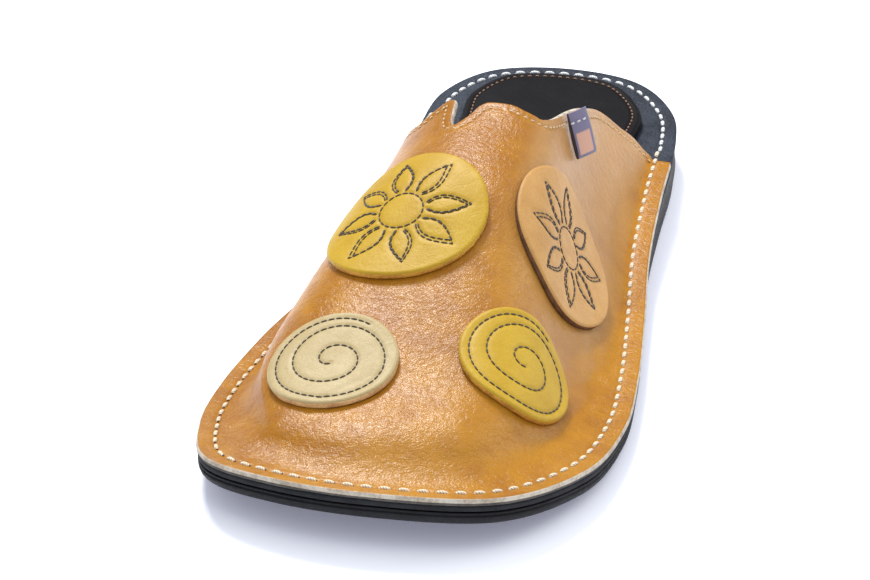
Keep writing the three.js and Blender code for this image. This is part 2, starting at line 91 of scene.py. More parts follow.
# Sections of the last: way round, lean of the wall, inset, wall height, belly, crown
SECTIONS = np.array([
    (0.00, 62, 0.111, 0.38, 0.60, 0.54), (0.06, 76, -0.044, 0.39, 0.62, 0.54),
    (0.12, 80, -0.044, 0.40, 0.62, 0.54), (0.22, 85, 0.167, 0.36, 0.50, 0.44),
    (0.32, 77, 0.333, 0.39, 0.38, 0.54), (0.42, 43, 0.944, 0.22, 0.36, 0.42),
    (0.50, 36, 0.833, 0.32, 0.45, 0.50), (0.60, 46, 1.000, 0.28, 0.52, 0.66),
    (0.72, 54, 1.000, 0.23, 0.56, 0.74), (0.86, 58, 0.500, 0.21, 0.62, 0.79),
    (1.00, 56, 0.500, 0.21, 0.62, 0.78)])
# Collar: rise up the rib, and the share of each side's way at which the leather ends
COLLAR_INNER = np.array([
    (0.000, 0.027), (0.140, 0.026), (0.200, 0.030), (0.245, 0.046), (0.306, 0.100),
    (0.360, 0.205), (0.450, 0.275), (0.560, 0.315), (0.657, 0.332), (0.720, 0.324),
    (0.780, 0.314), (0.808, 0.318), (0.822, 0.340), (0.840, 0.367), (0.864, 0.379),
    (0.888, 0.370), (0.910, 0.358), (0.930, 0.340), (0.960, 0.333), (1.000, 0.333)])
COLLAR_OUTER = np.array([
    (0.000, 0.047), (0.117, 0.043), (0.174, 0.033), (0.250, 0.040), (0.300, 0.048),
    (0.368, 0.074), (0.435, 0.109), (0.508, 0.166), (0.600, 0.232), (0.700, 0.289),
    (0.760, 0.317), (0.800, 0.332), (0.850, 0.342), (0.912, 0.340), (0.965, 0.334),
    (1.000, 0.333)])
# Places on the upper: side, share of that side's way, rise
FLOWER_INNER = ("inner", 0.567, 0.830)
FLOWER_OUTER = ("outer", 0.490, 0.508)
SPIRAL_INNER = ("inner", 0.864, 0.736)
SPIRAL_OUTER = ("outer", 0.797, 0.608)
LABEL_TOP = ("outer", 0.266, 0.655)
LABEL_FOOT = ("outer", 0.271, 0.505)


def curve_through(x, y):
    """Monotone cubic: Hermite pieces whose slope at a row is the weighted harmonic mean of
    the two neighbouring grades, or nothing where the grade changes its sign."""
    h = np.diff(x)
    g = np.diff(y) / h
    slope = np.zeros(len(x))
    same = g[:-1] * g[1:] > 0
    a, b = 2 * h[1:] + h[:-1], h[1:] + 2 * h[:-1]
    before, after = np.where(same, g[:-1], 1), np.where(same, g[1:], 1)
    slope[1:-1] = np.where(same, (a + b) / (a / before + b / after), 0)

    def end(h0, h1, g0, g1):
        s = ((2 * h0 + h1) * g0 - h0 * g1) / (h0 + h1)
        if s * g0 <= 0:
            return 0
        return 3 * g0 if g0 * g1 < 0 and abs(s) > 3 * abs(g0) else s

    slope[0] = end(h[0], h[1], g[0], g[1])
    slope[-1] = end(h[-1], h[-2], g[-1], g[-2])

    def at(v):
        v = np.clip(v, x[0], x[-1])
        i = np.clip(np.searchsorted(x, v, side="right") - 1, 0, len(h) - 1)
        t = (v - x[i]) / h[i]
        return ((2 * t**3 - 3 * t**2 + 1) * y[i] + (t**3 - 2 * t**2 + t) * h[i] * slope[i]
                + (3 * t**2 - 2 * t**3) * y[i + 1] + (t**3 - t**2) * h[i] * slope[i + 1])
    return at


def smooth(x, low=0.0, high=1.0):
    """Smooth step: 3t^2 - 2t^3 of the share t of the way from low to high."""
    t = np.clip((x - low) / (high - low), 0, 1)
    return t * t * (3 - 2 * t)


def lerp(a, b, t):
    """a where t is 0, b where it is 1, and straight between."""
    return a + (b - a) * t


def unit(v):
    """Vectors brought to length 1."""
    return v / np.maximum(np.linalg.norm(v, axis=-1, keepdims=True), 1e-12)


def dot(a, b):
    """Scalar product, with its axis kept."""
    return (a * b).sum(-1, keepdims=True)


def reach(points):
    """Length along a polyline at each of its points."""
    return np.r_[0, np.cumsum(np.linalg.norm(np.diff(points, axis=0), axis=1))]


def sample(points, lengths, at):
    """Point of a polyline at a length along it."""
    return np.stack([np.interp(at, lengths, points[:, k]) for k in range(points.shape[1])], -1)


def sole_share(y):
    """Share of the sole's length from the heel."""
    return np.clip(0.5 - y / LENGTH, 0, 1)


def ground(y):
    """Underside of the sole: flat, then rising as a power of the way to the toe."""
    return TOE_SPRING * (np.maximum(sole_share(y) - SPRING_START, 0)
                         / (1 - SPRING_START)) ** SPRING_POWER


def outsole_top(y):
    """The ground plus a thickness that falls by a smooth step along the wedge."""
    return ground(y) + lerp(OUTSOLE_HEEL, OUTSOLE_FORE, smooth(sole_share(y), *WEDGE))


def deck(y):
    """Upper face of the midsole."""
    return outsole_top(y) + CLEARANCE + MIDSOLE


def flange_top(y):
    """Outer face of the upper where it lies flat round the sole."""
    return deck(y) + CLEARANCE + UPPER_WALL


def closed_line(points, steps):
    """Centripetal Catmull-Rom curve through a closed loop of points."""
    line = []
    count = len(points)
    u = np.linspace(0, 1, steps, endpoint=False)[:, None]
    for i in range(count):
        p0, p1, p2, p3 = (points[(i + k) % count] for k in (-1, 0, 1, 2))
        d0, d1, d2 = (np.linalg.norm(b - a) ** 0.5 for a, b in ((p0, p1), (p1, p2), (p2, p3)))
        t1 = ((p1 - p0) / d0 - (p2 - p0) / (d0 + d1) + (p2 - p1) / d1) * d1
        t2 = ((p2 - p1) / d1 - (p3 - p1) / (d1 + d2) + (p3 - p2) / d2) * d1
        line.append(p1 + t1 * u + (3 * (p2 - p1) - 2 * t1 - t2) * u**2
                    + (2 * (p1 - p2) + t1 + t2) * u**3)
    return np.vstack(line + [points[:1]])


rim_line = closed_line(
    np.stack([RIM[:, 1] * BALL_WIDTH, (0.5 - RIM[:, 0]) * LENGTH], -1), 40)
rim_reach = reach(rim_line)
RIM_TOTAL = rim_reach[-1]


def rim_frame(share):
    """Point of the rim at a share of its length, and the outward direction there."""
    along = np.asarray(share) * RIM_TOTAL
    tangent = unit(sample(rim_line, rim_reach, (along + 2) % RIM_TOTAL)
                   - sample(rim_line, rim_reach, (along - 2) % RIM_TOTAL))
    return (sample(rim_line, rim_reach, along % RIM_TOTAL),
            np.stack([-tangent[..., 1], tangent[..., 0]], -1))


TOE_SHARE = rim_reach[rim_line[:, 1].argmin()] / RIM_TOTAL
ahead_of_collar = rim_line[:, 1] < COLLAR_END
OUTER_END_SHARE = rim_reach[ahead_of_collar.argmax()] / RIM_TOTAL
INNER_END_SHARE = rim_reach[len(rim_line) - ahead_of_collar[::-1].argmax()] / RIM_TOTAL
ridge_across = curve_through(RIDGE[:, 0], RIDGE[:, 1])
ridge_height = curve_through(RIDGE[:, 0], RIDGE[:, 2])
section = [curve_through(SECTIONS[:, 0], SECTIONS[:, k]) for k in range(1, 6)]
collar_back = {"inner": curve_through(*COLLAR_INNER.T), "outer": curve_through(*COLLAR_OUTER.T)}


def ridge_share(way):
    """Where a rib meets the ridge: (x - x^4/4) / (3/4) of its way from collar end to fan."""
    x = np.clip(way, 0, 1)
    return (x - x**4 / 4) / 0.75


def bezier(a, b, c, d, t):
    """Cubic with end points a, d and handles b, c."""
    s = 1 - t
    return s**3 * a + 3 * s * s * t * b + 3 * s * t * t * c + t**3 * d


# Steps and pull of a rib, the step that reads the ridge's slope, the share of the ridge from
# which ribs meet it like rays, and the least steepness of a wall
RIB_STEPS = 32
RIB_PULL = 0.33
GRADE_STEP = 0.01
RAYS_FROM = 0.6
STEEP_LEAST = 0.5


def upper_point(s, p):
    """Outer face of the upper at s round the rim and p up the rib. In plan a rib is a cubic
    from the rim, square to it, to the ridge; its section is a flat margin, a bend, a wall
    and a crown that meets the ridge with the ridge's own slope."""
    s, p = np.broadcast_arrays(np.asarray(s, float), np.asarray(p, float))
    foot, out = rim_frame(lerp(INNER_END_SHARE, OUTER_END_SHARE, s))
    q = ridge_share(np.where(s < 0.5, s / FAN_INNER, (1 - s) / (1 - FAN_OUTER)))
    top = np.stack([ridge_across(q) * BALL_WIDTH, lerp(COLLAR_END, -RIDGE_FRONT, q)], -1)
    height = ridge_height(q) * INSTEP_HEIGHT
    grade = (ridge_height(q - GRADE_STEP) - ridge_height(q)) * INSTEP_HEIGHT / (
        GRADE_STEP * (COLLAR_END + RIDGE_FRONT))
    across = top - foot
    span = np.linalg.norm(across, axis=-1, keepdims=True)
    radial = smooth(q, RAYS_FROM, 1)[..., None]
    side = np.where(s < 0.5, 1.0, -1.0)[..., None] * np.array([1.0, 0.0])
    arrival = unit(side * (1 - radial) + across / span * radial)
    pull = span * RIB_PULL
    u = np.linspace(0, 1, RIB_STEPS + 1).reshape((-1,) + (1,) * (s.ndim + 1))
    plan = bezier(foot, foot - out * pull, top - arrival * pull, top, u)
    step = np.linalg.norm(np.diff(plan, axis=0), axis=-1)
    gone = np.concatenate([np.zeros((1,) + s.shape), np.cumsum(step, 0)])
    total = gone[-1]
    lean, inset, wall, belly, crown = (curve(s) for curve in section)
    lean = np.radians(lean)
    ca, sa = np.cos(lean), np.sin(lean)
    flat, wall_in, wall_up = FLANGE - FLANGE_BEND, FLANGE * (1 + inset), height * wall
    low = np.clip(p / FLAT_RISE, 0, 1)
    mid = np.clip((p - FLAT_RISE) / (WALL_RISE - FLAT_RISE), 0, 1)
    high = np.clip((p - WALL_RISE) / (1 - WALL_RISE), 0, 1)
    wall_way = wall_up / sa * BEND_ROUND
    flat_way = np.maximum(wall_in - flat - ca * wall_up / sa, BEND_LEAST) * BEND_ROUND
    full = (height - wall_up) * belly / np.maximum(sa, STEEP_LEAST)
    crest = (total - wall_in) * crown
    depth = np.where(p < FLAT_RISE, flat * low, np.where(
        p < WALL_RISE,
        bezier(flat, flat + flat_way, wall_in - ca * wall_way, wall_in, mid),
        bezier(wall_in, wall_in + ca * full, total - crest, total, high)))
    rise = np.where(p < FLAT_RISE, 0, np.where(
        p < WALL_RISE,
        bezier(0, 0, wall_up - sa * wall_way, wall_up, mid),
        bezier(wall_up, wall_up + sa * full, height - arrival[..., 1] * grade * crest,
               height, high)))
    flat_gone, flat_plan = gone.reshape(RIB_STEPS + 1, -1), plan.reshape(RIB_STEPS + 1, -1, 2)
    wanted, j = depth.reshape(-1), np.arange(depth.size)
    i = np.clip((flat_gone < wanted).sum(0) - 1, 0, RIB_STEPS - 1)
    part = ((wanted - flat_gone[i, j]) / np.maximum(
        flat_gone[i + 1, j] - flat_gone[i, j], 1e-9))[:, None]
    xy = lerp(flat_plan[i, j], flat_plan[i + 1, j], part).reshape(s.shape + (2,))
    return np.concatenate([xy, (flange_top(xy[..., 1]) + rise)[..., None]], -1)


def round_of(side, way):
    """Way round the rim of a column, from its share of one side's way."""
    return way * FAN_INNER if side == "inner" else 1 - way * (1 - FAN_OUTER)


def upper_frame(s, p, probe=1e-3):
    """Slopes of the upper's face along s and p by differences, and its outward normal."""
    s0, s1 = np.clip(s - probe, 0, 1), np.clip(s + probe, 0, 1)
    p0, p1 = np.clip(p - probe, 0, 1), np.clip(p + probe, 0, 1)
    along = (upper_point(s1, p) - upper_point(s0, p)) / (s1 - s0)[..., None]
    up = (upper_point(s, p1) - upper_point(s, p0)) / (p1 - p0)[..., None]
    return along, up, unit(np.cross(along, up))


def walk(s, p, heading, length, steps):
    """Straight walks over the upper's face: at each step the heading is laid into the
    tangent plane and the place moves by the step's shares of the two slopes.
    Returns the points and normals passed, each (steps + 1, walks, 3)."""
    s, p, v = (np.array(a, float) for a in (s, p, heading))
    step = np.asarray(length, float) / steps
    points, normals = [], []
    for i in range(steps + 1):
        a, b, n = upper_frame(s, p)
        v = unit(v - dot(v, n) * n)
        points.append(upper_point(s, p))
        normals.append(n)
        aa, ab, bb, va, vb = (dot(x, y)[..., 0] for x, y in ((a, a), (a, b), (b, b), (v, a), (v, b)))
        scale = step / (aa * bb - ab * ab)
        s = np.clip(s + (bb * va - ab * vb) * scale, 0, 1)
        p = p + (aa * vb - ab * va) * scale
        over = p > 1
        other = np.where(s < 0.5, 1 - s / FAN_INNER * (1 - FAN_OUTER),
                         (1 - s) / (1 - FAN_OUTER) * FAN_INNER)
        s, p = np.where(over, other, s), np.clip(np.where(over, 2 - p, p), 0, 1)
    return np.array(points), np.array(normals)


def headings(place):
    """Unit vectors toward the outer side and toward the toe in the tangent plane."""
    side, way, rise = place
    s, p = np.array([round_of(side, way)]), np.array([rise])
    n = upper_frame(s, p)[2]
    toe = unit(np.array([[0.0, -1.0, 0.0]]) - dot(np.array([[0.0, -1.0, 0.0]]), n) * n)
    return s, p, np.cross(n, toe)[0], toe[0]


# Meshes
MERGE_DISTANCE = 2e-6


def grid_faces(rows, columns, offset=0):
    """Quads of a grid of points numbered row after row."""
    i, j = np.meshgrid(np.arange(rows - 1), np.arange(columns - 1), indexing="ij")
    a = offset + (i * columns + j).ravel()
    return np.stack([a, a + columns, a + columns + 1, a + 1], 1)


def piece(name, sheets, materials, replaces=()):
    """One object from grids of points in millimetres. A sheet is (points, material number,
    uv grid in metres or None, painted sheen grid or None)."""
    points, faces, numbers, uvs, painted_sheen_values = [], [], [], [], []
    count = 0
    for sheet in sheets:
        grid, number, uv, tone = (tuple(sheet) + (None, None, None))[:4]
        rows, columns = grid.shape[:2]
        points.append(grid.reshape(-1, 3))
        quads = grid_faces(rows, columns, count)
        faces.append(quads)
        numbers.append(np.full(len(quads), number or 0))
        uvs.append(np.zeros((rows * columns, 2)) if uv is None else uv.reshape(-1, 2))
        painted_sheen_values.append(np.zeros(rows * columns) if tone is None else np.broadcast_to(
            tone, (rows, columns)).reshape(-1))
        count += rows * columns
    points, faces = np.vstack(points) * MM, np.vstack(faces)
    uvs, painted_sheen_values = np.vstack(uvs), np.concatenate(painted_sheen_values)
    mesh = bpy.data.meshes.new(name)
    mesh.vertices.add(len(points))
    mesh.vertices.foreach_set("co", points.ravel())
    mesh.loops.add(faces.size)
    mesh.loops.foreach_set("vertex_index", faces.ravel())
    mesh.polygons.add(len(faces))
    mesh.polygons.foreach_set("loop_start", np.arange(len(faces)) * 4)
    mesh.polygons.foreach_set("material_index", np.concatenate(numbers))
    mesh.update(calc_edges=True)
    mesh.uv_layers.new(name="UVMap").data.foreach_set("uv", uvs[faces.ravel()].ravel())
    mesh.attributes.new("tone", "FLOAT", "POINT").data.foreach_set("value", painted_sheen_values)
    for material in materials:
        mesh.materials.append(material)
    work = bmesh.new()
    work.from_mesh(mesh)
    bmesh.ops.remove_doubles(work, verts=work.verts, dist=MERGE_DISTANCE)
    bmesh.ops.recalc_face_normals(work, faces=work.faces)
    work.to_mesh(mesh)
    work.free()
    mesh.polygons.foreach_set("use_smooth", np.ones(len(mesh.polygons), bool))
    mesh.update()
    made = bpy.data.objects.new(name, mesh)
    bpy.context.scene.collection.objects.link(made)
    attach(made, "root")
    if replaces:
        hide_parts(*replaces)
    return made


# Share of its width by which a thread sits low, and its flatness
THREAD_SEAT = 0.15
THREAD_FLAT = 0.8


def stitching(name, path, normals, material, pitch, share, width, lift, sides=8, rings=7,
              closed=False, skew=0.0, phase=0.0):
    """Thread beads, one for every pitch of a path: rings of an ellipse whose size follows
    the square root of 1 - t^4 to nothing at both ends, on a centre line that arches up."""
    lengths = reach(path)
    count = max(int(round(lengths[-1] / pitch)), 1)
    real = lengths[-1] / (count if closed else count + 1 - share)
    middles = (np.arange(count) + (0.5 if closed else share / 2) + phase) * real
    t = np.linspace(-1, 1, rings)
    at = middles[:, None] + t * real * share / 2
    centre = sample(path, lengths, at)
    n = unit(sample(normals, lengths, at))
    tangent = unit(np.gradient(centre, axis=1))
    beside = np.cross(tangent, n)
    centre = centre + beside * (skew * t)[None, :, None] + n * (
        lift * (1 - t**2) - width * THREAD_SEAT)[None, :, None]
    size = np.sqrt(np.maximum(1 - t**4, 0))[None, :, None, None] * width / 2
    turn = np.linspace(0, 2 * np.pi, sides + 1)[None, None, :, None]
    rings_3d = centre[:, :, None] + size * (
        beside[:, :, None] * np.cos(turn) + n[:, :, None] * np.sin(turn) * THREAD_FLAT)
    along = np.broadcast_to(at[:, :, None] * MM, rings_3d.shape[:3])
    round_uv = np.broadcast_to(turn[..., 0] / (2 * np.pi), rings_3d.shape[:3])
    uv = np.stack([along, round_uv], -1)
    return piece(name, [(rings_3d[k], 0, uv[k]) for k in range(count)], [material])


# Materials
class Nodes:
    """A node tree, with short calls for the nodes that the finishes use."""

    def __init__(self, tree):
        self.tree = tree

    def put(self, socket, value):
        """Sets a socket, or links it where the value is another node's socket."""
        if isinstance(value, bpy.types.NodeSocket):
            self.tree.links.new(value, socket)
        elif isinstance(value, (tuple, list)) and len(value) == 3 and socket.type == "RGBA":
            socket.default_value = (*value, 1)
        else:
            socket.default_value = value

    def put_all(self, made, **inputs):
        """Inputs of a node by name, with _ for a space."""
        for key, value in inputs.items():
            self.put(made.inputs[key.replace("_", " ")], value)

    def new(self, kind, settings=None, **inputs):
        """A shader node with its settings and inputs."""
        made = self.tree.nodes.new("ShaderNode" + kind)
        for key, value in (settings or {}).items():
            setattr(made, key, value)
        self.put_all(made, **inputs)
        return made

    def in_order(self, made, values):
        """First inputs of a node in their order, and its first output."""
        for socket, value in zip(made.inputs, values):
            self.put(socket, value)
        return made.outputs[0]

    def blend(self, share, a, b):
        """Colour mix: a where share is 0, b where it is 1."""
        made = self.new("Mix", {"data_type": "RGBA"})
        for number, value in ((0, share), (6, a), (7, b)):
            self.put(made.inputs[number], value)
        return made.outputs[2]

    def maths(self, operation, *values):
        """Result of one operation on one or two values."""
        return self.in_order(self.new("Math", {"operation": operation}), values)

    def times(self, a, b):
        return self.maths("MULTIPLY", a, b)

    def plus(self, a, b):
        return self.maths("ADD", a, b)

    def less(self, a, b):
        return self.maths("SUBTRACT", a, b)

    def mean(self, a, b):
        return self.times(self.plus(a, b), 0.5)

    def ramp(self, value, low, high, to_low=0.0, to_high=1.0):
        """Smooth step of a value between low and high, carried to the range to_low, to_high."""
        made = self.new("MapRange", {"interpolation_type": "SMOOTHSTEP"})
        return self.in_order(made, (value, low, high, to_low, to_high))

    def within(self, value, a, b, c, d):
        """1 between two soft steps, from a to b and from c to d, and 0 outside them."""
        return self.times(self.ramp(value, a, b), self.ramp(value, c, d, 1.0, 0.0))

    def noise(self, scale, detail=2.0, rough=0.5, distortion=0.0):
        """Noise over the piece's own place in metres."""
        return self.new("TexNoise", Vector=self.place, Scale=scale, Detail=detail,
                        Roughness=rough, Distortion=distortion).outputs[0]

    def bump(self, strength, distance, height, **below):
        return self.new("Bump", Strength=strength, Distance=distance, Height=height,
                        **below).outputs[0]


def finish(name):
    """A new material with one shader wired to its output, and the nodes that drive it."""
    material = bpy.data.materials.new(name)
    material.use_nodes = True
    material.node_tree.nodes.clear()
    nodes = Nodes(material.node_tree)
    nodes.shader = nodes.new("BsdfPrincipled")
    nodes.new("OutputMaterial", Surface=nodes.shader.outputs[0])
    coordinates = nodes.new("TexCoord").outputs
    nodes.place, nodes.uv = coordinates["Object"], coordinates["UV"]
    return material, nodes


def leather(name, light, deep, roughness, pore=1250.0, pore_depth=0.18, fold_depth=0.25,
            fold_size=330.0, painted_sheen_color=None, specular=0.5):
    """Milled leather: cells of the grain with folds between them, a mottled dye, and gloss
    that is broken where the grain lies deep."""
    material, n = finish(name)
    broad = n.noise(28.0, 3.0, 0.55)
    mottle = n.noise(140.0, 4.0, 0.6)
    bent = n.new("MixRGB", {"blend_type": "ADD"}, Fac=0.0012, Color1=n.place, Color2=n.noise(420.0))
    cells = n.new("TexVoronoi", {"feature": "DISTANCE_TO_EDGE"}, Vector=bent.outputs[0],
                  Scale=pore).outputs["Distance"]
    grain = n.ramp(cells, 0.0, 0.22)
    fold = n.ramp(n.noise(fold_size, 3.0, 0.6, 0.6), 0.38, 0.58)
    dye = n.plus(n.times(broad, 0.55), n.times(mottle, 0.45))
    color = n.blend(n.ramp(dye, 0.36, 0.64), deep, light)
    # Painted shade: the colour darkens toward the folds between the grain's cells, where the bump lies
    # lowest
    color = n.blend(n.times(n.less(1.0, grain), 0.16), color, tuple(c * 0.45 for c in deep))
    # Painted sheen: where given, a vertex attribute pales the colour toward this lighter one, as light on
    # the side that faces it
    if painted_sheen_color is not None:
        tone = n.new("Attribute", {"attribute_name": "tone"}).outputs["Fac"]
        color = n.blend(tone, color, painted_sheen_color)
    n.put_all(n.shader, Base_Color=color, Specular_IOR_Level=specular,
              Roughness=n.plus(roughness, n.times(n.less(0.5, mottle), 0.16)),
              Normal=n.bump(fold_depth, 0.0006, fold, Normal=n.bump(pore_depth, 0.0004, grain)))
    return material


def cut_edge(name, light, deep):
    """Raw cut edge of leather: fibres that run in fine short streaks."""
    material, n = finish(name)
    fibre, patch = n.noise(1500.0, 4.0, 0.7), n.noise(240.0)
    n.put_all(n.shader, Base_Color=n.blend(n.ramp(n.mean(fibre, patch), 0.38, 0.6), deep, light),
              Roughness=0.85, Normal=n.bump(0.5, 0.0003, fibre))
    return material


def rubber(name, color, worn):
    """Matt black rubber with a fine pebble and slight dusty wear."""
    material, n = finish(name)
    pebble, cloud = n.noise(1100.0, 3.0, 0.6), n.noise(60.0, 3.0, 0.6)
    n.put_all(n.shader, Base_Color=n.blend(n.ramp(cloud, 0.4, 0.75, 0.0, 0.5), color, worn),
              Roughness=n.ramp(pebble, 0.3, 0.7, 0.55, 0.72), Specular_IOR_Level=0.3,
              Normal=n.bump(0.22, 0.0003, pebble))
    return material


def thread(name, light, deep, twist=1.0):
    """Twisted thread: slanting plies round each bead, by its own UV."""
    material, n = finish(name)
    u, v = n.new("SeparateXYZ", Vector=n.uv).outputs[:2]
    slant = n.plus(n.times(u, 1400.0 * twist), n.times(v, 2.0))
    ply = n.maths("SINE", n.times(slant, 6.2832))
    # Painted shade: the grooves between the plies, where the bump is lowest, take the deep colour
    n.put_all(n.shader, Base_Color=n.blend(n.ramp(ply, -1.0, 0.6), deep, light),
              Roughness=0.62, Sheen_Weight=0.25, Normal=n.bump(0.5, 0.0002, ply))
    return material


def suede(name, light, deep):
    """Flesh side of leather: short nap in soft patches."""
    material, n = finish(name)
    nap, patch = n.noise(900.0, 4.0, 0.7), n.noise(90.0, 3.0)
    n.put_all(n.shader, Base_Color=n.blend(n.ramp(n.mean(nap, patch), 0.4, 0.62), deep, light),
              Roughness=0.92, Sheen_Weight=0.3, Normal=n.bump(0.45, 0.0004, nap))
    return material


# Woven tape, in metres: where its selvedge ends, and where its block starts and ends across and
# down it, each as a soft step
SELVEDGE = (0.0001, 0.0003)
BLOCK_ACROSS = (0.0007, 0.0010, 0.0050, 0.0053)
BLOCK_DOWN = (0.0056, 0.0062, 0.0118, 0.0123)


def woven(name, ground_color, band_color, selvedge_and_shade_color):
    """Narrow woven tape: fine weave over its own UV, a plain block on it and a dark selvedge, whose colour
    also paints shade where the UV is zero.
    """
    material, n = finish(name)
    u, v = n.new("SeparateXYZ", Vector=n.uv).outputs[:2]
    warp, weft = (n.maths("SINE", n.times(a, 6.2832 * k)) for a, k in ((u, 3200), (v, 2400)))
    weave = n.times(warp, weft)
    block = n.times(n.within(v, *BLOCK_DOWN), n.within(u, *BLOCK_ACROSS))
    color = n.blend(block, ground_color, band_color)
    # The selvedge colour also stands for painted shade on the loop's closed sides
    color = n.blend(n.ramp(u, *SELVEDGE, 1.0, 0.0), color, selvedge_and_shade_color)
    color = n.blend(n.ramp(weave, -1.0, 1.0, 0.0, 0.28), color, tuple(c * 0.5 for c in ground_color))
    n.put_all(n.shader, Base_Color=color, Roughness=0.7, Sheen_Weight=0.3,
              Normal=n.bump(0.35, 0.0002, weave))
    return material


# The tan's painted sheen colour is the paler, pinker tan of the side that faces the light
TAN = leather("tan_leather", (0.45, 0.195, 0.012), (0.335, 0.122, 0.006), 0.33, pore=1500.0,
              pore_depth=0.15, fold_depth=0.20, fold_size=560.0, painted_sheen_color=(0.46, 0.25, 0.085),
              specular=0.36)
TAN_EDGE = cut_edge("tan_leather_edge", (0.56, 0.50, 0.41), (0.33, 0.27, 0.20))
# Painted shade: near-black cut edge for the lower rows of the upper's rim edge, next to the sole
PAINTED_SHADE_EDGE = cut_edge("tan_leather_edge_painted_shade", (0.10, 0.085, 0.07), (0.05, 0.042, 0.035))
FLESH = suede("flesh_side", (0.30, 0.31, 0.25), (0.18, 0.19, 0.145))
YELLOW = leather("yellow_leather", (0.53, 0.335, 0.023), (0.465, 0.275, 0.014), 0.48, pore=1600.0,
                 pore_depth=0.10, fold_depth=0.10, specular=0.25)
YELLOW_EDGE = cut_edge("yellow_leather_edge", (0.72, 0.38, 0.05), (0.45, 0.20, 0.03))
LIGHT_BROWN = leather("light_brown_leather", (0.57, 0.315, 0.098), (0.48, 0.245, 0.068), 0.48,
                      pore=1600.0, pore_depth=0.10, fold_depth=0.10, specular=0.25)
BROWN_EDGE = cut_edge("light_brown_leather_edge", (0.20, 0.09, 0.04), (0.10, 0.045, 0.02))
CREAM = leather("cream_leather", (0.50, 0.39, 0.197), (0.44, 0.33, 0.15), 0.48, pore=1600.0,
                pore_depth=0.10, fold_depth=0.10, specular=0.25)
CREAM_EDGE = cut_edge("cream_leather_edge", (0.80, 0.52, 0.24), (0.55, 0.30, 0.12))
NAVY = leather("navy_leather", (0.034, 0.043, 0.062), (0.016, 0.021, 0.034), 0.52, pore=900.0,
               pore_depth=0.35, fold_depth=0.3, specular=0.25)
NAVY_EDGE = cut_edge("navy_leather_edge", (0.014, 0.015, 0.018), (0.006, 0.006, 0.008))
BLACK = leather("black_leather", (0.008, 0.007, 0.009), (0.005, 0.004, 0.006), 0.62, pore=1700.0,
                pore_depth=0.12, fold_depth=0.08, specular=0.12)
RUBBER = rubber("black_rubber", (0.007, 0.007, 0.008), (0.020, 0.020, 0.022))
CREAM_THREAD = thread("cream_thread", (0.90, 0.80, 0.62), (0.62, 0.47, 0.28))
WHITE_THREAD = thread("white_thread", (0.90, 0.90, 0.88), (0.55, 0.55, 0.55))
FINE_THREAD = thread("fine_tan_thread", (0.86, 0.66, 0.38), (0.55, 0.34, 0.15), 1.8)
RUST_THREAD = thread("rust_thread", (0.42, 0.20, 0.09), (0.24, 0.10, 0.04), 1.8)
# Painted shade: dark brown for the shade inside the awl holes between the flange stitches
HOLE_SHADE = cut_edge("awl_hole_painted_shade", (0.075, 0.028, 0.006), (0.03, 0.011, 0.003))
BROWN_THREAD = thread("brown_thread", (0.075, 0.045, 0.018), (0.030, 0.018, 0.008), 1.8)
LABEL_TAPE = woven("woven_label", (0.19, 0.17, 0.27), (0.72, 0.40, 0.27), (0.012, 0.011, 0.016))

# Sole
RIM_PARTS = 420
rib_parts = np.linspace(0, 1, RIM_PARTS // 2 + 1)
outer_shares = TOE_SHARE * rib_parts
inner_shares = 1 - (1 - TOE_SHARE) * rib_parts
loop_shares = np.r_[outer_shares, inner_shares[::-1][1:]]


def ring(shares, inset, height):
    """Points inside the rim by inset, a number or a function of the rim's points."""
    point, out = rim_frame(shares)
    depth = inset(point) if callable(inset) else inset
    xy = point - out * np.broadcast_to(depth, point.shape[:-1])[..., None]
    return np.concatenate([xy, height(xy[..., 1])[..., None]], -1)


def cap(inset, height, cross, relief=None):
    """Ribs from the outer to the inner half of a ring, each point at its own height."""
    a, b = ring(outer_shares, inset, height), ring(inner_shares, inset, height)
    share = cross[None, :, None]
    grid = lerp(a[:, None], b[:, None], share)
    inner = (cross > 0) & (cross < 1)
    grid[:, inner, 2] = height(grid[:, inner, 1])
    if relief is not None:
        width = np.linalg.norm(b - a, axis=-1)[:, None]
        from_edge = np.minimum(cross, 1 - cross)[None] * width
        grid[..., 2] += relief(grid, from_edge)
    return grid


def rings(*profile):
    """Side or margin: the loop of the rim carried along a profile of (inset, height)."""
    return np.stack([ring(loop_shares, inset, height) for inset, height in profile], 1)


def rounded(radius, face, steps, up, margin=None):
    """Profile of an edge rounded by a quarter circle, from a level face to its upright side where
    the side goes up, or from the side to the face above it. A margin is added to its inset."""
    profile = []
    for t in np.linspace(0, np.pi / 2, steps):
        inset, drop = radius * (1 - np.sin(t)), radius * (1 - np.cos(t))
        profile.append((inset if margin is None else lambda q, inset=inset: margin(q) + inset,
                        lambda y, drop=drop: face(y) + (drop if up else -drop)))
    return profile if up else profile[::-1]


def crowded(count):
    """Shares from 0 to 1 that crowd toward both ends."""
    return (1 - np.cos(np.linspace(0, np.pi, count))) / 2


# Tread waves: depth, length of a wave, sideways swing and its repeat, the range of a wave's sine
# over which it is cut, its fade from the edge, and the plain waist as shares of the length
TREAD_DEPTH = 0.55
WAVE = 4.6
SWING = 1.8
SWING_REPEAT = 13.0
WAVE_CUT = (0.15, 0.75)
TREAD_FADE = (5.0, 7.0)
WAIST_MIDDLE = 0.42
WAIST_FADE = (0.13, 0.09)


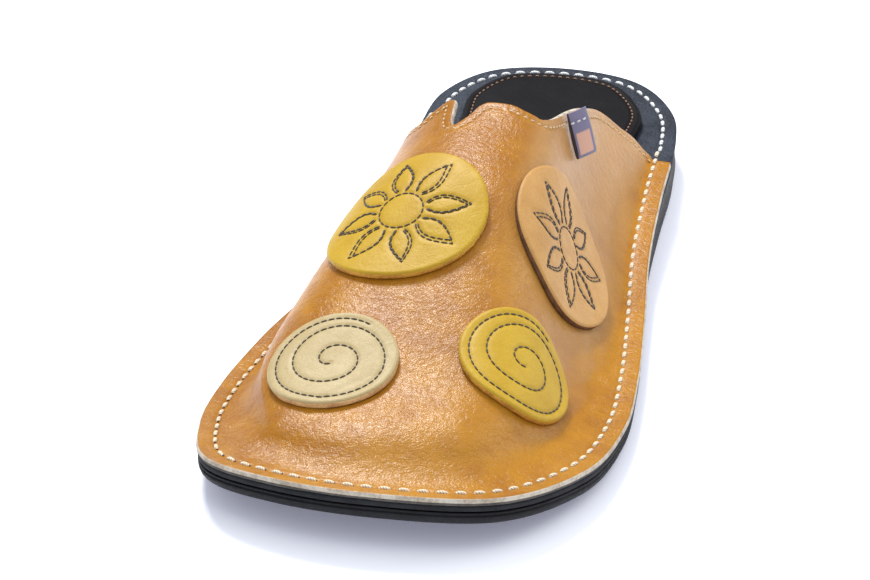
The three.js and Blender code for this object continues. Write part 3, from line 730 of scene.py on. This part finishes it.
def tread(grid, from_edge):
    """Shallow waves across the underside: the sole is cut away where a wave's sine is low,
    fading out toward its edge and at the waist."""
    x, y = grid[..., 0], grid[..., 1]
    wave = np.sin((y + SWING * np.sin(x * 2 * np.pi / SWING_REPEAT)) * 2 * np.pi / WAVE)
    beyond_waist = 1 - smooth(np.abs(sole_share(y) - WAIST_MIDDLE), *WAIST_FADE)
    return TREAD_DEPTH * smooth(wave, *WAVE_CUT) * smooth(from_edge, *TREAD_FADE) * beyond_waist


SIDE_HOLLOW = 0.35
TOP_ROUND = 0.4


def outsole_side():
    """Underside edge rounded by a quarter circle, a slightly hollow side, a small top round."""
    hollow = [(SIDE_HOLLOW * np.sin(np.pi * t), lambda y, t=t: lerp(
        ground(y) + OUTSOLE_ROUND, outsole_top(y) - TOP_ROUND, t)) for t in np.linspace(0, 1, 7)[1:-1]]
    return rings(*rounded(OUTSOLE_ROUND, ground, 7, True), *hollow,
                 *rounded(TOP_ROUND, outsole_top, 4, False))


piece("outsole_rubber", [
    (cap(OUTSOLE_ROUND, ground, crowded(110), tread),),
    (outsole_side(),),
    (cap(TOP_ROUND, outsole_top, crowded(12)),)], [RUBBER], ["outsole"])

# Midsole: its heel seam, the depth and half width of the groove there, the rounds of its lower
# and upper edge, and its shown margin
HEEL_SEAM = 3.9
HEEL_GROOVE = (0.35, 0.8)
BOARD_LOW_ROUND = 0.35
BOARD_TOP_ROUND = 0.45
BOARD_MARGIN = 9.0


def seam_dip(distance, depth, width):
    """Bell-shaped groove that a row of stitches pulls into the leather."""
    return -depth * np.exp(-(distance / width) ** 2)


def midsole_faces():
    """Board with rounded edges; its upper margin dips along the heel seam."""
    base = lambda y: outsole_top(y) + CLEARANCE
    lower, upper = rounded(BOARD_LOW_ROUND, base, 4, True), rounded(BOARD_TOP_ROUND, deck, 5, False)
    margin = [(d, lambda y, d=d: deck(y) + seam_dip(d - HEEL_SEAM, *HEEL_GROOVE))
              for d in np.linspace(0.8, BOARD_MARGIN, 26)]
    return [(cap(BOARD_LOW_ROUND, base, crowded(10)), 1), (rings(*lower, *upper[:3]), 1),
            (rings(*upper[2:], *margin), 0), (cap(BOARD_MARGIN, deck, crowded(16)), 0)]


piece("midsole_board", midsole_faces(), [NAVY, NAVY_EDGE], ["midsole"])


def sock_margin(point):
    """Bare margin round the sock: it widens under the upper and round the toes."""
    x, y = point[..., 0], point[..., 1]
    outward = smooth(x / BALL_WIDTH, -0.25, 0.25)
    inside = smooth(COLLAR_END + SOCK_DRAW_IN - y, 0, SOCK_DRAW_IN)
    covered = lerp(MARGIN_HEEL, lerp(MARGIN_INNER, MARGIN_OUTER, outward), inside)
    start = lerp(WEDGE[1], WEDGE[0], outward)
    return lerp(covered, MARGIN_TOE, smooth((sole_share(y) - start) / (1 - start)))


# Sock: its border seam and groove, rounded edge, foot, crown, and the border in which it rises
SOCK_SEAM = 2.6
SOCK_GROOVE = (0.35, 0.6)
SOCK_ROUND = 1.2
SOCK_FOOT = 0.4
SOCK_FOOT_INSET = 0.3
SOCK_CROWN = 0.25
SOCK_BORDER = 9.0


def sock_faces():
    """Sock: rounded edge, a dip along its border seam and a slight crown inside it."""
    seat = lambda y: deck(y) + CLEARANCE
    top = lambda y: seat(y) + INSOLE
    crown = lambda d: SOCK_CROWN * smooth(d, 3.0, SOCK_BORDER)
    foot = lambda q: sock_margin(q) + SOCK_FOOT_INSET
    edge = [(foot, seat), (sock_margin, lambda y: seat(y) + SOCK_FOOT),
            *rounded(SOCK_ROUND, top, 7, False, sock_margin)]
    margin = [(lambda q, d=d: sock_margin(q) + d,
               lambda y, d=d: top(y) + crown(d) + seam_dip(d - SOCK_SEAM, *SOCK_GROOVE))
              for d in np.linspace(1.5, SOCK_BORDER, 26)]
    middle = cap(lambda q: sock_margin(q) + SOCK_BORDER, lambda y: top(y) + SOCK_CROWN, crowded(24))
    return [(cap(foot, seat, crowded(8)),), (rings(*edge, *margin),), (middle,)]


piece("insole_sock", sock_faces(), [BLACK], ["insole"])


def level_path(shares, inset, height):
    """Line along the rim that lies level, with upright normals."""
    path = ring(shares, inset, height)
    return path, np.broadcast_to([0.0, 0.0, 1.0], path.shape).copy()


# Upper
SIDE_COLUMNS, TOE_COLUMNS = 160, 120
RISES = np.r_[np.linspace(0, FLAT_RISE, 13)[:-1], np.linspace(FLAT_RISE, WALL_RISE, 19)[:-1],
              np.linspace(WALL_RISE, 0.80, 26)[:-1], np.linspace(0.80, 1, 34)]
# Seams: way in from the edge, groove, pitch and start; bulge of the cut edge; soft unevenness
FLANGE_SEAM = 4.3
FLANGE_GROOVE = (0.32, 0.75)
FLANGE_PITCH = 4.6
COLLAR_SEAM = 2.2
COLLAR_GROOVE = (0.22, 0.6)
COLLAR_SEAM_START = 3.0
EDGE_BULGE = 0.32
UNEVENNESS = 0.07
# Share by which the painted sheen pales the leather toward its sheen colour
PAINTED_SHEEN = 0.55
# Creases, listed: side, way and rise of both ends, depth and half width
CREASES = [
    ("outer", 0.60, 0.20, 0.70, 0.27, 0.35, 2.0), ("outer", 0.66, 0.19, 0.78, 0.25, 0.30, 1.8),
    ("outer", 0.55, 0.30, 0.66, 0.22, 0.25, 1.6), ("outer", 0.80, 0.22, 0.92, 0.27, 0.28, 2.2),
    ("inner", 0.62, 0.24, 0.75, 0.30, 0.30, 2.2), ("inner", 0.70, 0.22, 0.86, 0.26, 0.26, 2.0),
    ("outer", 0.15, 0.30, 0.34, 0.26, 0.40, 3.0), ("inner", 0.14, 0.30, 0.36, 0.26, 0.40, 3.0)]

parts = np.linspace(0, 1, SIDE_COLUMNS + 1)[:, None]


def side_rounds(side):
    """Columns of one side: part + back * (1 - part)^2 of its way, back being the collar's."""
    return round_of(side, parts + collar_back[side](RISES) * (1 - parts) ** 2)


fan = np.linspace(FAN_INNER, FAN_OUTER, TOE_COLUMNS + 1)[1:-1, None] * np.ones_like(RISES)
column_rounds = np.concatenate([side_rounds("inner"), fan, side_rounds("outer")[::-1]])
rows = np.broadcast_to(RISES, column_rounds.shape)
outer_face = upper_point(column_rounds, rows)
face_normal = upper_frame(column_rounds, np.minimum(rows, 1 - 2e-3))[2]
# Where the toe's ribs meet in one point, they share the mean normal of a ring just below it
pole = slice(SIDE_COLUMNS, SIDE_COLUMNS + TOE_COLUMNS + 1)
face_normal[pole, -1] = unit(face_normal[pole, -4].mean(0))
face_normal[:, -1] = unit(face_normal[:, -1] + face_normal[::-1, -1])


def collar_of(grid, column=0):
    """Values up a column counted from the inner collar end, and down its fellow."""
    return np.concatenate([grid[column], grid[-1 - column, ::-1][1:]])


collar_line, collar_normals = collar_of(outer_face), collar_of(face_normal)
collar_rounds, collar_rises = collar_of(column_rounds), collar_of(rows)


def nearest(points, line, block=4000):
    """Distance of each point from the nearest point of a fine line."""
    flat = points.reshape(-1, 3)
    found = [np.sqrt(((flat[i:i + block, None] - line) ** 2).sum(-1).min(1))
             for i in range(0, len(flat), block)]
    return np.concatenate(found).reshape(points.shape[:-1])


def segment_distance(points, a, b):
    """Distance from a straight segment, and the share of the way along it."""
    t = np.clip(((points - a) @ (b - a)) / ((b - a) @ (b - a)), 0, 1)
    return np.linalg.norm(points - a - t[..., None] * (b - a), axis=-1), t


def upper_relief():
    """Height added along the normal: seam grooves, listed creases and a soft unevenness."""
    inset = (FLANGE - FLANGE_BEND) * rows / FLAT_RISE
    flange_dip = np.where(rows < WALL_RISE, seam_dip(inset - FLANGE_SEAM, *FLANGE_GROOVE), 0)
    fine = sample(collar_line, reach(collar_line), np.arange(0, reach(collar_line)[-1], 0.4))
    from_collar = nearest(outer_face, fine)
    relief = flange_dip + seam_dip(from_collar - COLLAR_SEAM, *COLLAR_GROOVE)
    for side, way0, rise0, way1, rise1, depth, width in CREASES:
        a, b = (upper_point(round_of(side, w), r) for w, r in ((way0, rise0), (way1, rise1)))
        distance, t = segment_distance(outer_face, a, b)
        relief += (seam_dip(distance, depth, width)
                   - seam_dip(distance - 1.8 * width, depth * 0.5, width)) * np.sin(
            np.pi * np.clip(t, 0.02, 0.98)) ** 0.7
    x, y, z = np.moveaxis(outer_face, -1, 0)
    uneven = (np.sin(x / 5.1 + 1.3 * np.sin(y / 11.0)) * np.sin(y / 7.3 + z / 9.0)
              + 0.6 * np.sin(y / 3.9 + x / 8.2) * np.sin(z / 4.4 + x / 6.0))
    relief += UNEVENNESS * uneven * smooth(rows, FLAT_RISE, WALL_RISE)
    return relief


outer_skin = outer_face + face_normal * upper_relief()[..., None]
inner_skin = outer_face - face_normal * UPPER_WALL


def edge_strip(outer, inner, normals, away):
    """Cut edge between two boundary lines: it bulges a little, and not at the line's ends."""
    t = np.linspace(0, 1, 8)
    length = reach(outer)
    window = smooth(np.minimum(length, length[-1] - length), 0, 1.2)
    along = np.gradient(outer, axis=0)
    out = unit(np.cross(along, normals))
    out *= np.sign((out * away).sum(-1, keepdims=True))
    grid = lerp(outer[:, None], inner[:, None], t[None, :, None])
    return grid + out[:, None] * (EDGE_BULGE * window[:, None] * np.sin(np.pi * t)[None] ** 0.6)[..., None]


collar_strip = edge_strip(collar_of(outer_skin), collar_of(inner_skin), collar_normals,
                          collar_line - collar_of(outer_face, 1))
rim_strip = edge_strip(outer_skin[:, 0], inner_skin[:, 0], face_normal[:, 0],
                       outer_face[:, 0] - outer_face[:, 1])
# Painted sheen: the leather is painted paler where it faces the outer side, as if lit there, and less so
# toward the toe and the flange
sheen_side = smooth(face_normal[..., 0], 0.15, 0.75) * smooth(rows, 0.1, 0.3)
tone = PAINTED_SHEEN * sheen_side * smooth(outer_face[..., 1], -95.0, -10.0)

# The rim's cut edge is light in its upper rows and painted dark as shade in its lower rows
piece("upper_leather", [
    (outer_skin, 0, None, tone), (inner_skin, 2), (collar_strip, 1), (rim_strip[:, :5], 1),
    (rim_strip[:, 4:], 3)], [TAN, TAN_EDGE, FLESH, PAINTED_SHADE_EDGE], ["upper"])


def collar_seam():
    """Line a fixed way in from the collar's edge, by a walk square to the edge."""
    length = reach(collar_line)
    fine = np.arange(COLLAR_SEAM_START, length[-1] - COLLAR_SEAM_START, 0.5)
    s, p = np.interp(fine, length, collar_rounds), np.interp(fine, length, collar_rises)
    line = sample(collar_line, length, fine)
    n = unit(sample(collar_normals, length, fine))
    inward = unit(np.cross(np.gradient(line, axis=0), n))
    into = collar_of(outer_face, 3) - collar_line
    inward *= np.sign((inward * sample(into, length, fine)).sum(-1, keepdims=True))
    points, normals = walk(s, p, inward, COLLAR_SEAM, 4)
    kernel = np.ones(5) / 5
    path = np.stack([np.convolve(np.pad(points[-1][:, k], 2, mode="edge"), kernel, "valid")
                     for k in range(3)], -1)
    return path, normals[-1]


def flange_seam():
    """Line a fixed way in from the rim of the upper, between the collar's two ends."""
    s = np.linspace(0, 1, 900)
    rise = np.full_like(s, FLANGE_SEAM / (FLANGE - FLANGE_BEND) * FLAT_RISE)
    path = upper_point(s, rise)
    inside = nearest(path, collar_line) > 2.5
    return path[inside], np.broadcast_to([0.0, 0.0, 1.0], path[inside].shape).copy()


# How far the middle of each row of stitches lies below the face
FLANGE_SUNK = 0.25
HOLES_SUNK = 0.28
COLLAR_SUNK = 0.14
HEEL_SUNK = 0.25
SOCK_SUNK = 0.22

path, normals = flange_seam()
stitching("flange_stitching", path - normals * FLANGE_SUNK, normals, CREAM_THREAD,
          pitch=FLANGE_PITCH, share=0.72, width=1.1, lift=0.42, skew=0.12)
# Painted shade: small dark beads between the stitches stand for the shade in the pulled-in awl holes
stitching("flange_hole_shade", path - normals * HOLES_SUNK, normals, HOLE_SHADE,
          pitch=FLANGE_PITCH, share=0.22, width=0.95, lift=0.0, sides=6, rings=5, phase=0.75)
path, normals = collar_seam()
stitching("collar_stitching", path - normals * COLLAR_SUNK, normals, FINE_THREAD,
          pitch=2.1, share=0.66, width=0.55, lift=0.2, sides=6, rings=5)
heel_shares = np.linspace(INNER_END_SHARE, 1 + OUTER_END_SHARE, 400)
path, normals = level_path(heel_shares % 1, HEEL_SEAM, lambda y: deck(y) - HEEL_SUNK)
stitching("heel_stitching", path, normals, WHITE_THREAD,
          pitch=4.3, share=0.76, width=1.1, lift=0.42, skew=0.1)
path, normals = level_path(loop_shares, lambda q: sock_margin(q) + SOCK_SEAM,
                           lambda y: deck(y) + CLEARANCE + INSOLE - SOCK_SUNK)
stitching("sock_stitching", path, normals, RUST_THREAD,
          pitch=2.2, share=0.6, width=0.5, lift=0.2, sides=6, rings=5, closed=True)

# Ornaments
SPOKES, RINGS_PER_MM = 160, 2.0
DISC_ROUND = 0.45
DISC_SEAM_DEPTH = 0.28
DISC_SEAM_WIDTH = 0.55
THREAD_SUNK = 0.14


def polar_patch(place, radius):
    """Points and normals on the upper over a disc, by straight walks from its middle."""
    s, p, outward, toward = headings(place)
    angle = np.linspace(0, 2 * np.pi, SPOKES + 1)[:, None]
    steps = int(radius * RINGS_PER_MM)
    points, normals = walk(
        np.repeat(s, SPOKES + 1), np.repeat(p, SPOKES + 1),
        outward * np.cos(angle) + toward * np.sin(angle), radius, steps)
    return points, normals


def on_patch(patch, radius, rho, angle):
    """Point and normal of a patch at polar coordinates, between its nodes by shares."""
    points, normals = patch
    steps = len(points) - 1
    i = np.clip(rho / radius * steps, 0, steps - 1e-6)
    j = (angle / (2 * np.pi) % 1) * SPOKES
    i0, j0 = np.floor(i).astype(int), np.floor(j).astype(int)
    a, b = (i - i0)[..., None], (j - j0)[..., None]

    def mixed(grid):
        return lerp(lerp(grid[i0, j0], grid[i0 + 1, j0], a),
                    lerp(grid[i0, j0 + 1], grid[i0 + 1, j0 + 1], a), b)
    return mixed(points), unit(mixed(normals))


def disc(name, patch, radius, lines, face, edge, node_name):
    """Leather disc: it follows the upper, its edge is rounded, and it dips along its stitch
    lines, given as (radius, angle) points."""
    points, normals = patch
    steps = len(points) - 1
    rho = np.linspace(0, radius, steps + 1)[:, None]
    angle = np.linspace(0, 2 * np.pi, SPOKES + 1)[None]
    flat = np.stack([rho * np.cos(angle), rho * np.sin(angle), 0 * rho * angle], -1)
    dip = np.zeros(flat.shape[:2])
    for line in lines:
        xy = np.stack([line[0] * np.cos(line[1]), line[0] * np.sin(line[1]), 0 * line[0]], -1)
        dip = np.minimum(dip, seam_dip(nearest(flat, xy), DISC_SEAM_DEPTH, DISC_SEAM_WIDTH))
    over = np.clip((rho - radius + DISC_ROUND) / DISC_ROUND, 0, 1)
    fall = DISC_ROUND * (1 - np.sqrt(1 - over ** 2))
    top = points + normals * (CLEARANCE + DISC_THICKNESS + dip - fall)[..., None]
    base = points + normals * CLEARANCE
    wall = lerp(top[-1][:, None], base[-1][:, None], np.linspace(0, 1, 4)[None, :, None])
    return piece(name, [(top, 0), (base, 1), (wall, 1)], [face, edge], [node_name])


def petal(angle, base, tip, half, slant=0.0, count=110):
    """Outline of a pointed petal: half its width times the sine of pi t^0.8 on either side of
    its middle line, out and back, the tip moved aside by slant."""
    t = np.linspace(0.06, 1, count)
    along = lerp(base, tip, t)
    aside = half * np.sin(np.pi * t ** 0.8)
    x = np.r_[along, along[::-1]]
    y = np.r_[aside + slant * t * t, (slant * t * t - aside)[::-1]]
    return np.hypot(x, y), angle + np.arctan2(y, x)


def circle(radius, count=120):
    """Radii and angles of a circle."""
    return np.full(count, radius), np.linspace(0, 2 * np.pi, count)


# Petals, round from the first: length, half width and slant of the tip, in millimetres
PETALS = np.array([
    (12.3, 3.0, 0.3), (12.8, 2.7, -0.5), (12.0, 2.9, 0.4), (12.6, 3.1, 0.0),
    (12.2, 2.8, -0.4), (12.9, 2.9, 0.5), (12.4, 3.1, -0.2), (12.0, 2.7, 0.4)])
CENTRE_RADIUS = 5.8
EDGE_PART = 0.75
EDGE_DRIFT = 0.5
SPIRAL_EYE = 1.4


def flower_lines(turn):
    """Middle circle and eight petals, each sewn twice by a slightly wandering second line."""
    lines = [circle(CENTRE_RADIUS)]
    for k, (length, half, slant) in enumerate(PETALS):
        angle = turn + k * np.pi / 4
        lines.append(petal(angle, CENTRE_RADIUS, CENTRE_RADIUS + length, half, slant))
        lines.append(petal(angle + 0.025 * (-1) ** k, CENTRE_RADIUS + 0.5,
                           CENTRE_RADIUS + length - 0.9, half - 0.55, slant - 0.3))
    return lines


def spiral_line(turn, hand, outer=14.3, turns=2.6):
    """Spiral inward: it loses EDGE_DRIFT over its first turn's EDGE_PART, and then its radius
    falls evenly to SPIRAL_EYE."""
    t = np.linspace(0, 1, 600)
    radius = np.interp(t * turns, [0, EDGE_PART, turns], [outer, outer - EDGE_DRIFT, SPIRAL_EYE])
    return [(radius, turn + hand * 2 * np.pi * turns * t)]


def sewn_disc(name, place, diameter, lines, face, edge):
    """A disc on the upper and the machine stitches along its lines."""
    radius = diameter / 2
    patch = polar_patch(place, radius)
    disc(name + "_leather", patch, radius, lines, face, edge, name)
    made = []
    for k, (rho, angle) in enumerate(lines):
        line, normal = on_patch(patch, radius, rho, angle)
        line = line + normal * (CLEARANCE + DISC_THICKNESS - THREAD_SUNK)
        made.append(stitching(f"{name}_stitching_{k}", line, normal, BROWN_THREAD,
                              pitch=2.0, share=0.97, width=0.44, lift=0.10, sides=6, rings=6))
    joined(made, name + "_stitching")


def joined(objects, name):
    """Several pieces of stitching made one piece."""
    work = bmesh.new()
    for made in objects:
        work.from_mesh(made.data)
    target = objects[0]
    work.to_mesh(target.data)
    work.free()
    for made in objects[1:]:
        bpy.data.objects.remove(made)
    target.name = name
    target.data.name = name


sewn_disc("flower_disc_inner", FLOWER_INNER, FLOWER_DIAMETER, flower_lines(np.radians(-95.0)),
          YELLOW, YELLOW_EDGE)
sewn_disc("flower_disc_outer", FLOWER_OUTER, FLOWER_DIAMETER, flower_lines(np.radians(-167.7)),
          LIGHT_BROWN, BROWN_EDGE)
sewn_disc("spiral_disc_inner", SPIRAL_INNER, SPIRAL_DIAMETER, spiral_line(np.radians(-60), -1),
          CREAM, CREAM_EDGE)
sewn_disc("spiral_disc_outer", SPIRAL_OUTER, SPIRAL_DIAMETER, spiral_line(np.radians(-80), -1),
          YELLOW, YELLOW_EDGE)

# Label
LABEL_THICKNESS = 1.6


def label_frame():
    """Back of the label's middle line at the collar's edge, and its directions: down its
    length, across it from its front edge, and out of its face."""
    s = np.array([round_of("outer", LABEL_TOP[1])])
    top = upper_point(s, LABEL_TOP[2])[0]
    foot = upper_point(round_of("outer", LABEL_FOOT[1]), LABEL_FOOT[2])
    normal = upper_frame(s, np.array([LABEL_TOP[2]]))[2][0]
    down = unit(foot - top)
    out = unit(normal - (normal @ down) * down)
    face = np.cross(down, out) * np.sin(LABEL_TURN) + out * np.cos(LABEL_TURN)
    return top + out * LABEL_WIDTH / 2 * np.sin(LABEL_TURN), down, np.cross(face, down), face


def label():
    """Folded tape: a loop whose section down its length is a long oval, thin at the head."""
    back, down, aside, face = label_frame()
    turn = np.linspace(0, 2 * np.pi, 97)
    along = LABEL_LENGTH / 2 - LABEL_OVERHANG - LABEL_LENGTH / 2 * np.sign(np.cos(turn)) * np.abs(
        np.cos(turn)) ** 0.5
    share = (along + LABEL_OVERHANG) / LABEL_LENGTH
    half = LABEL_THICKNESS / 2 * lerp(0.45, 1.0, smooth(share, 0.0, 0.5))
    high = CLEARANCE + LABEL_THICKNESS / 2 + half * np.sign(np.sin(turn)) * np.abs(np.sin(turn)) ** 0.6
    across = np.linspace(-0.5, 0.5, 13) * LABEL_WIDTH
    bow = 0.25 * (1 - (across / LABEL_WIDTH * 2) ** 2)
    loop = (back + along[:, None, None] * down + across[None, :, None] * aside
            + (high[:, None] + bow * (half > 0)[:, None])[..., None] * face)
    u = np.broadcast_to((across + LABEL_WIDTH / 2) * MM, loop.shape[:2])
    v = np.broadcast_to(share[:, None] * LABEL_LENGTH * MM, loop.shape[:2])
    uv = np.stack([u, v], -1)
    middle = back + along[:, None] * down + (CLEARANCE + LABEL_THICKNESS / 2) * face

    def cheek(edge):
        """Side of the loop: one sheet that its zero UV paints in the selvedge's near-black, for the
        selvedges and painted shade inside the fold.
        """
        centre = middle + across[edge] * aside * 0.96
        grid = lerp(loop[:, edge][:, None], centre[:, None], np.linspace(0, 1, 3)[None, :, None])
        return grid, 0, np.zeros(grid.shape[:2] + (2,))
    piece("label_tape", [(loop, 0, uv), cheek(0), cheek(-1)], [LABEL_TAPE], ["label"])
    row = np.abs(share - 0.22) + (np.sin(turn) < 0)
    line = loop[row.argmin()]
    stitching("label_stitching", line, np.broadcast_to(face, line.shape), WHITE_THREAD,
              pitch=1.9, share=0.75, width=0.55, lift=0.2, sides=6, rings=5)


label()

# Floor, light and camera
EYE = Vector((0.22253, -0.97264, 0.52209))
AIM_FORWARD = Vector((-0.2327, 0.8601, -0.4540))
AIM_RIGHT = Vector((0.9653, 0.2612, 0.0))
AIM_UP = Vector((-0.1186, 0.4382, 0.8911))
PHOTO_LENS = 116.7
CLOSER = 1.5
SHOE_MIDDLE = (0.02284, -0.00674)


def camera():
    """The photograph's eye point, turned to the slipper's middle and with a longer lens."""
    forward = (AIM_FORWARD + AIM_RIGHT * SHOE_MIDDLE[0] + AIM_UP * SHOE_MIDDLE[1]).normalized()
    right = (AIM_RIGHT - forward * AIM_RIGHT.dot(forward)).normalized()
    up = right.cross(forward)
    data = bpy.data.cameras.new("camera")
    data.lens = PHOTO_LENS * CLOSER
    data.sensor_width = 36.0
    data.clip_start, data.clip_end = 0.05, 20.0
    made = bpy.data.objects.new("camera", data)
    made.matrix_world = Matrix.Translation(EYE) @ Matrix((right, up, -forward)).transposed().to_4x4()
    bpy.context.scene.collection.objects.link(made)
    bpy.context.scene.camera = made


# Lamps: name, place, what it faces, width and depth, power in watts
LAMPS = [
    ("top_light", (-0.44, 0.66, 1.15), (0.0, -0.02, 0.0), (0.34, 0.34), 19.0),
    ("wide_light", (0.3, -0.1, 1.8), (0.0, 0.0, 0.0), (1.8, 1.8), 9.0),
    ("back_right_light", (1.1, 1.0, 0.8), (0.0, 0.0, 0.03), (0.8, 0.6), 5.0)]
FLOOR_HALF = 3.0
FLOOR_DROP = 0.0002


def floor():
    """Pale sheet just under the sole."""
    mesh = bpy.data.meshes.new("floor")
    corners = [(-1, -1), (1, -1), (1, 1), (-1, 1)]
    mesh.from_pydata([(x * FLOOR_HALF, y * FLOOR_HALF, -FLOOR_DROP) for x, y in corners], [],
                     [(0, 1, 2, 3)])
    material, n = finish("pale_floor")
    n.put_all(n.shader, Base_Color=(0.93, 0.935, 0.95), Roughness=0.75, Specular_IOR_Level=0.2,
              Emission_Color=(0.74, 0.74, 1.0), Emission_Strength=0.20)
    mesh.materials.append(material)
    made = bpy.data.objects.new("floor", mesh)
    bpy.context.scene.collection.objects.link(made)


def softbox(name, place, target, size, power):
    """Square or oblong lamp at a place, turned to its target."""
    data = bpy.data.lights.new(name, "AREA")
    data.shape = "RECTANGLE"
    data.size, data.size_y = size
    data.energy = power
    made = bpy.data.objects.new(name, data)
    made.location = place
    made.rotation_euler = (Vector(target) - Vector(place)).to_track_quat("-Z", "Y").to_euler()
    bpy.context.scene.collection.objects.link(made)


def studio():
    """Pale sky, dimmed where it is mirrored, and three lamps."""
    world = bpy.data.worlds.new("studio")
    world.use_nodes = True
    n = Nodes(world.node_tree)
    mirrored = n.new("LightPath").outputs["Is Glossy Ray"]
    n.put_all(world.node_tree.nodes["Background"], Color=(0.87, 0.92, 1.0),
              Strength=n.ramp(mirrored, 0.0, 1.0, 0.86, 0.10))
    bpy.context.scene.world = world
    for lamp in LAMPS:
        softbox(*lamp)
    bpy.context.scene.view_settings.view_transform = "Standard"


camera()
floor()
studio()
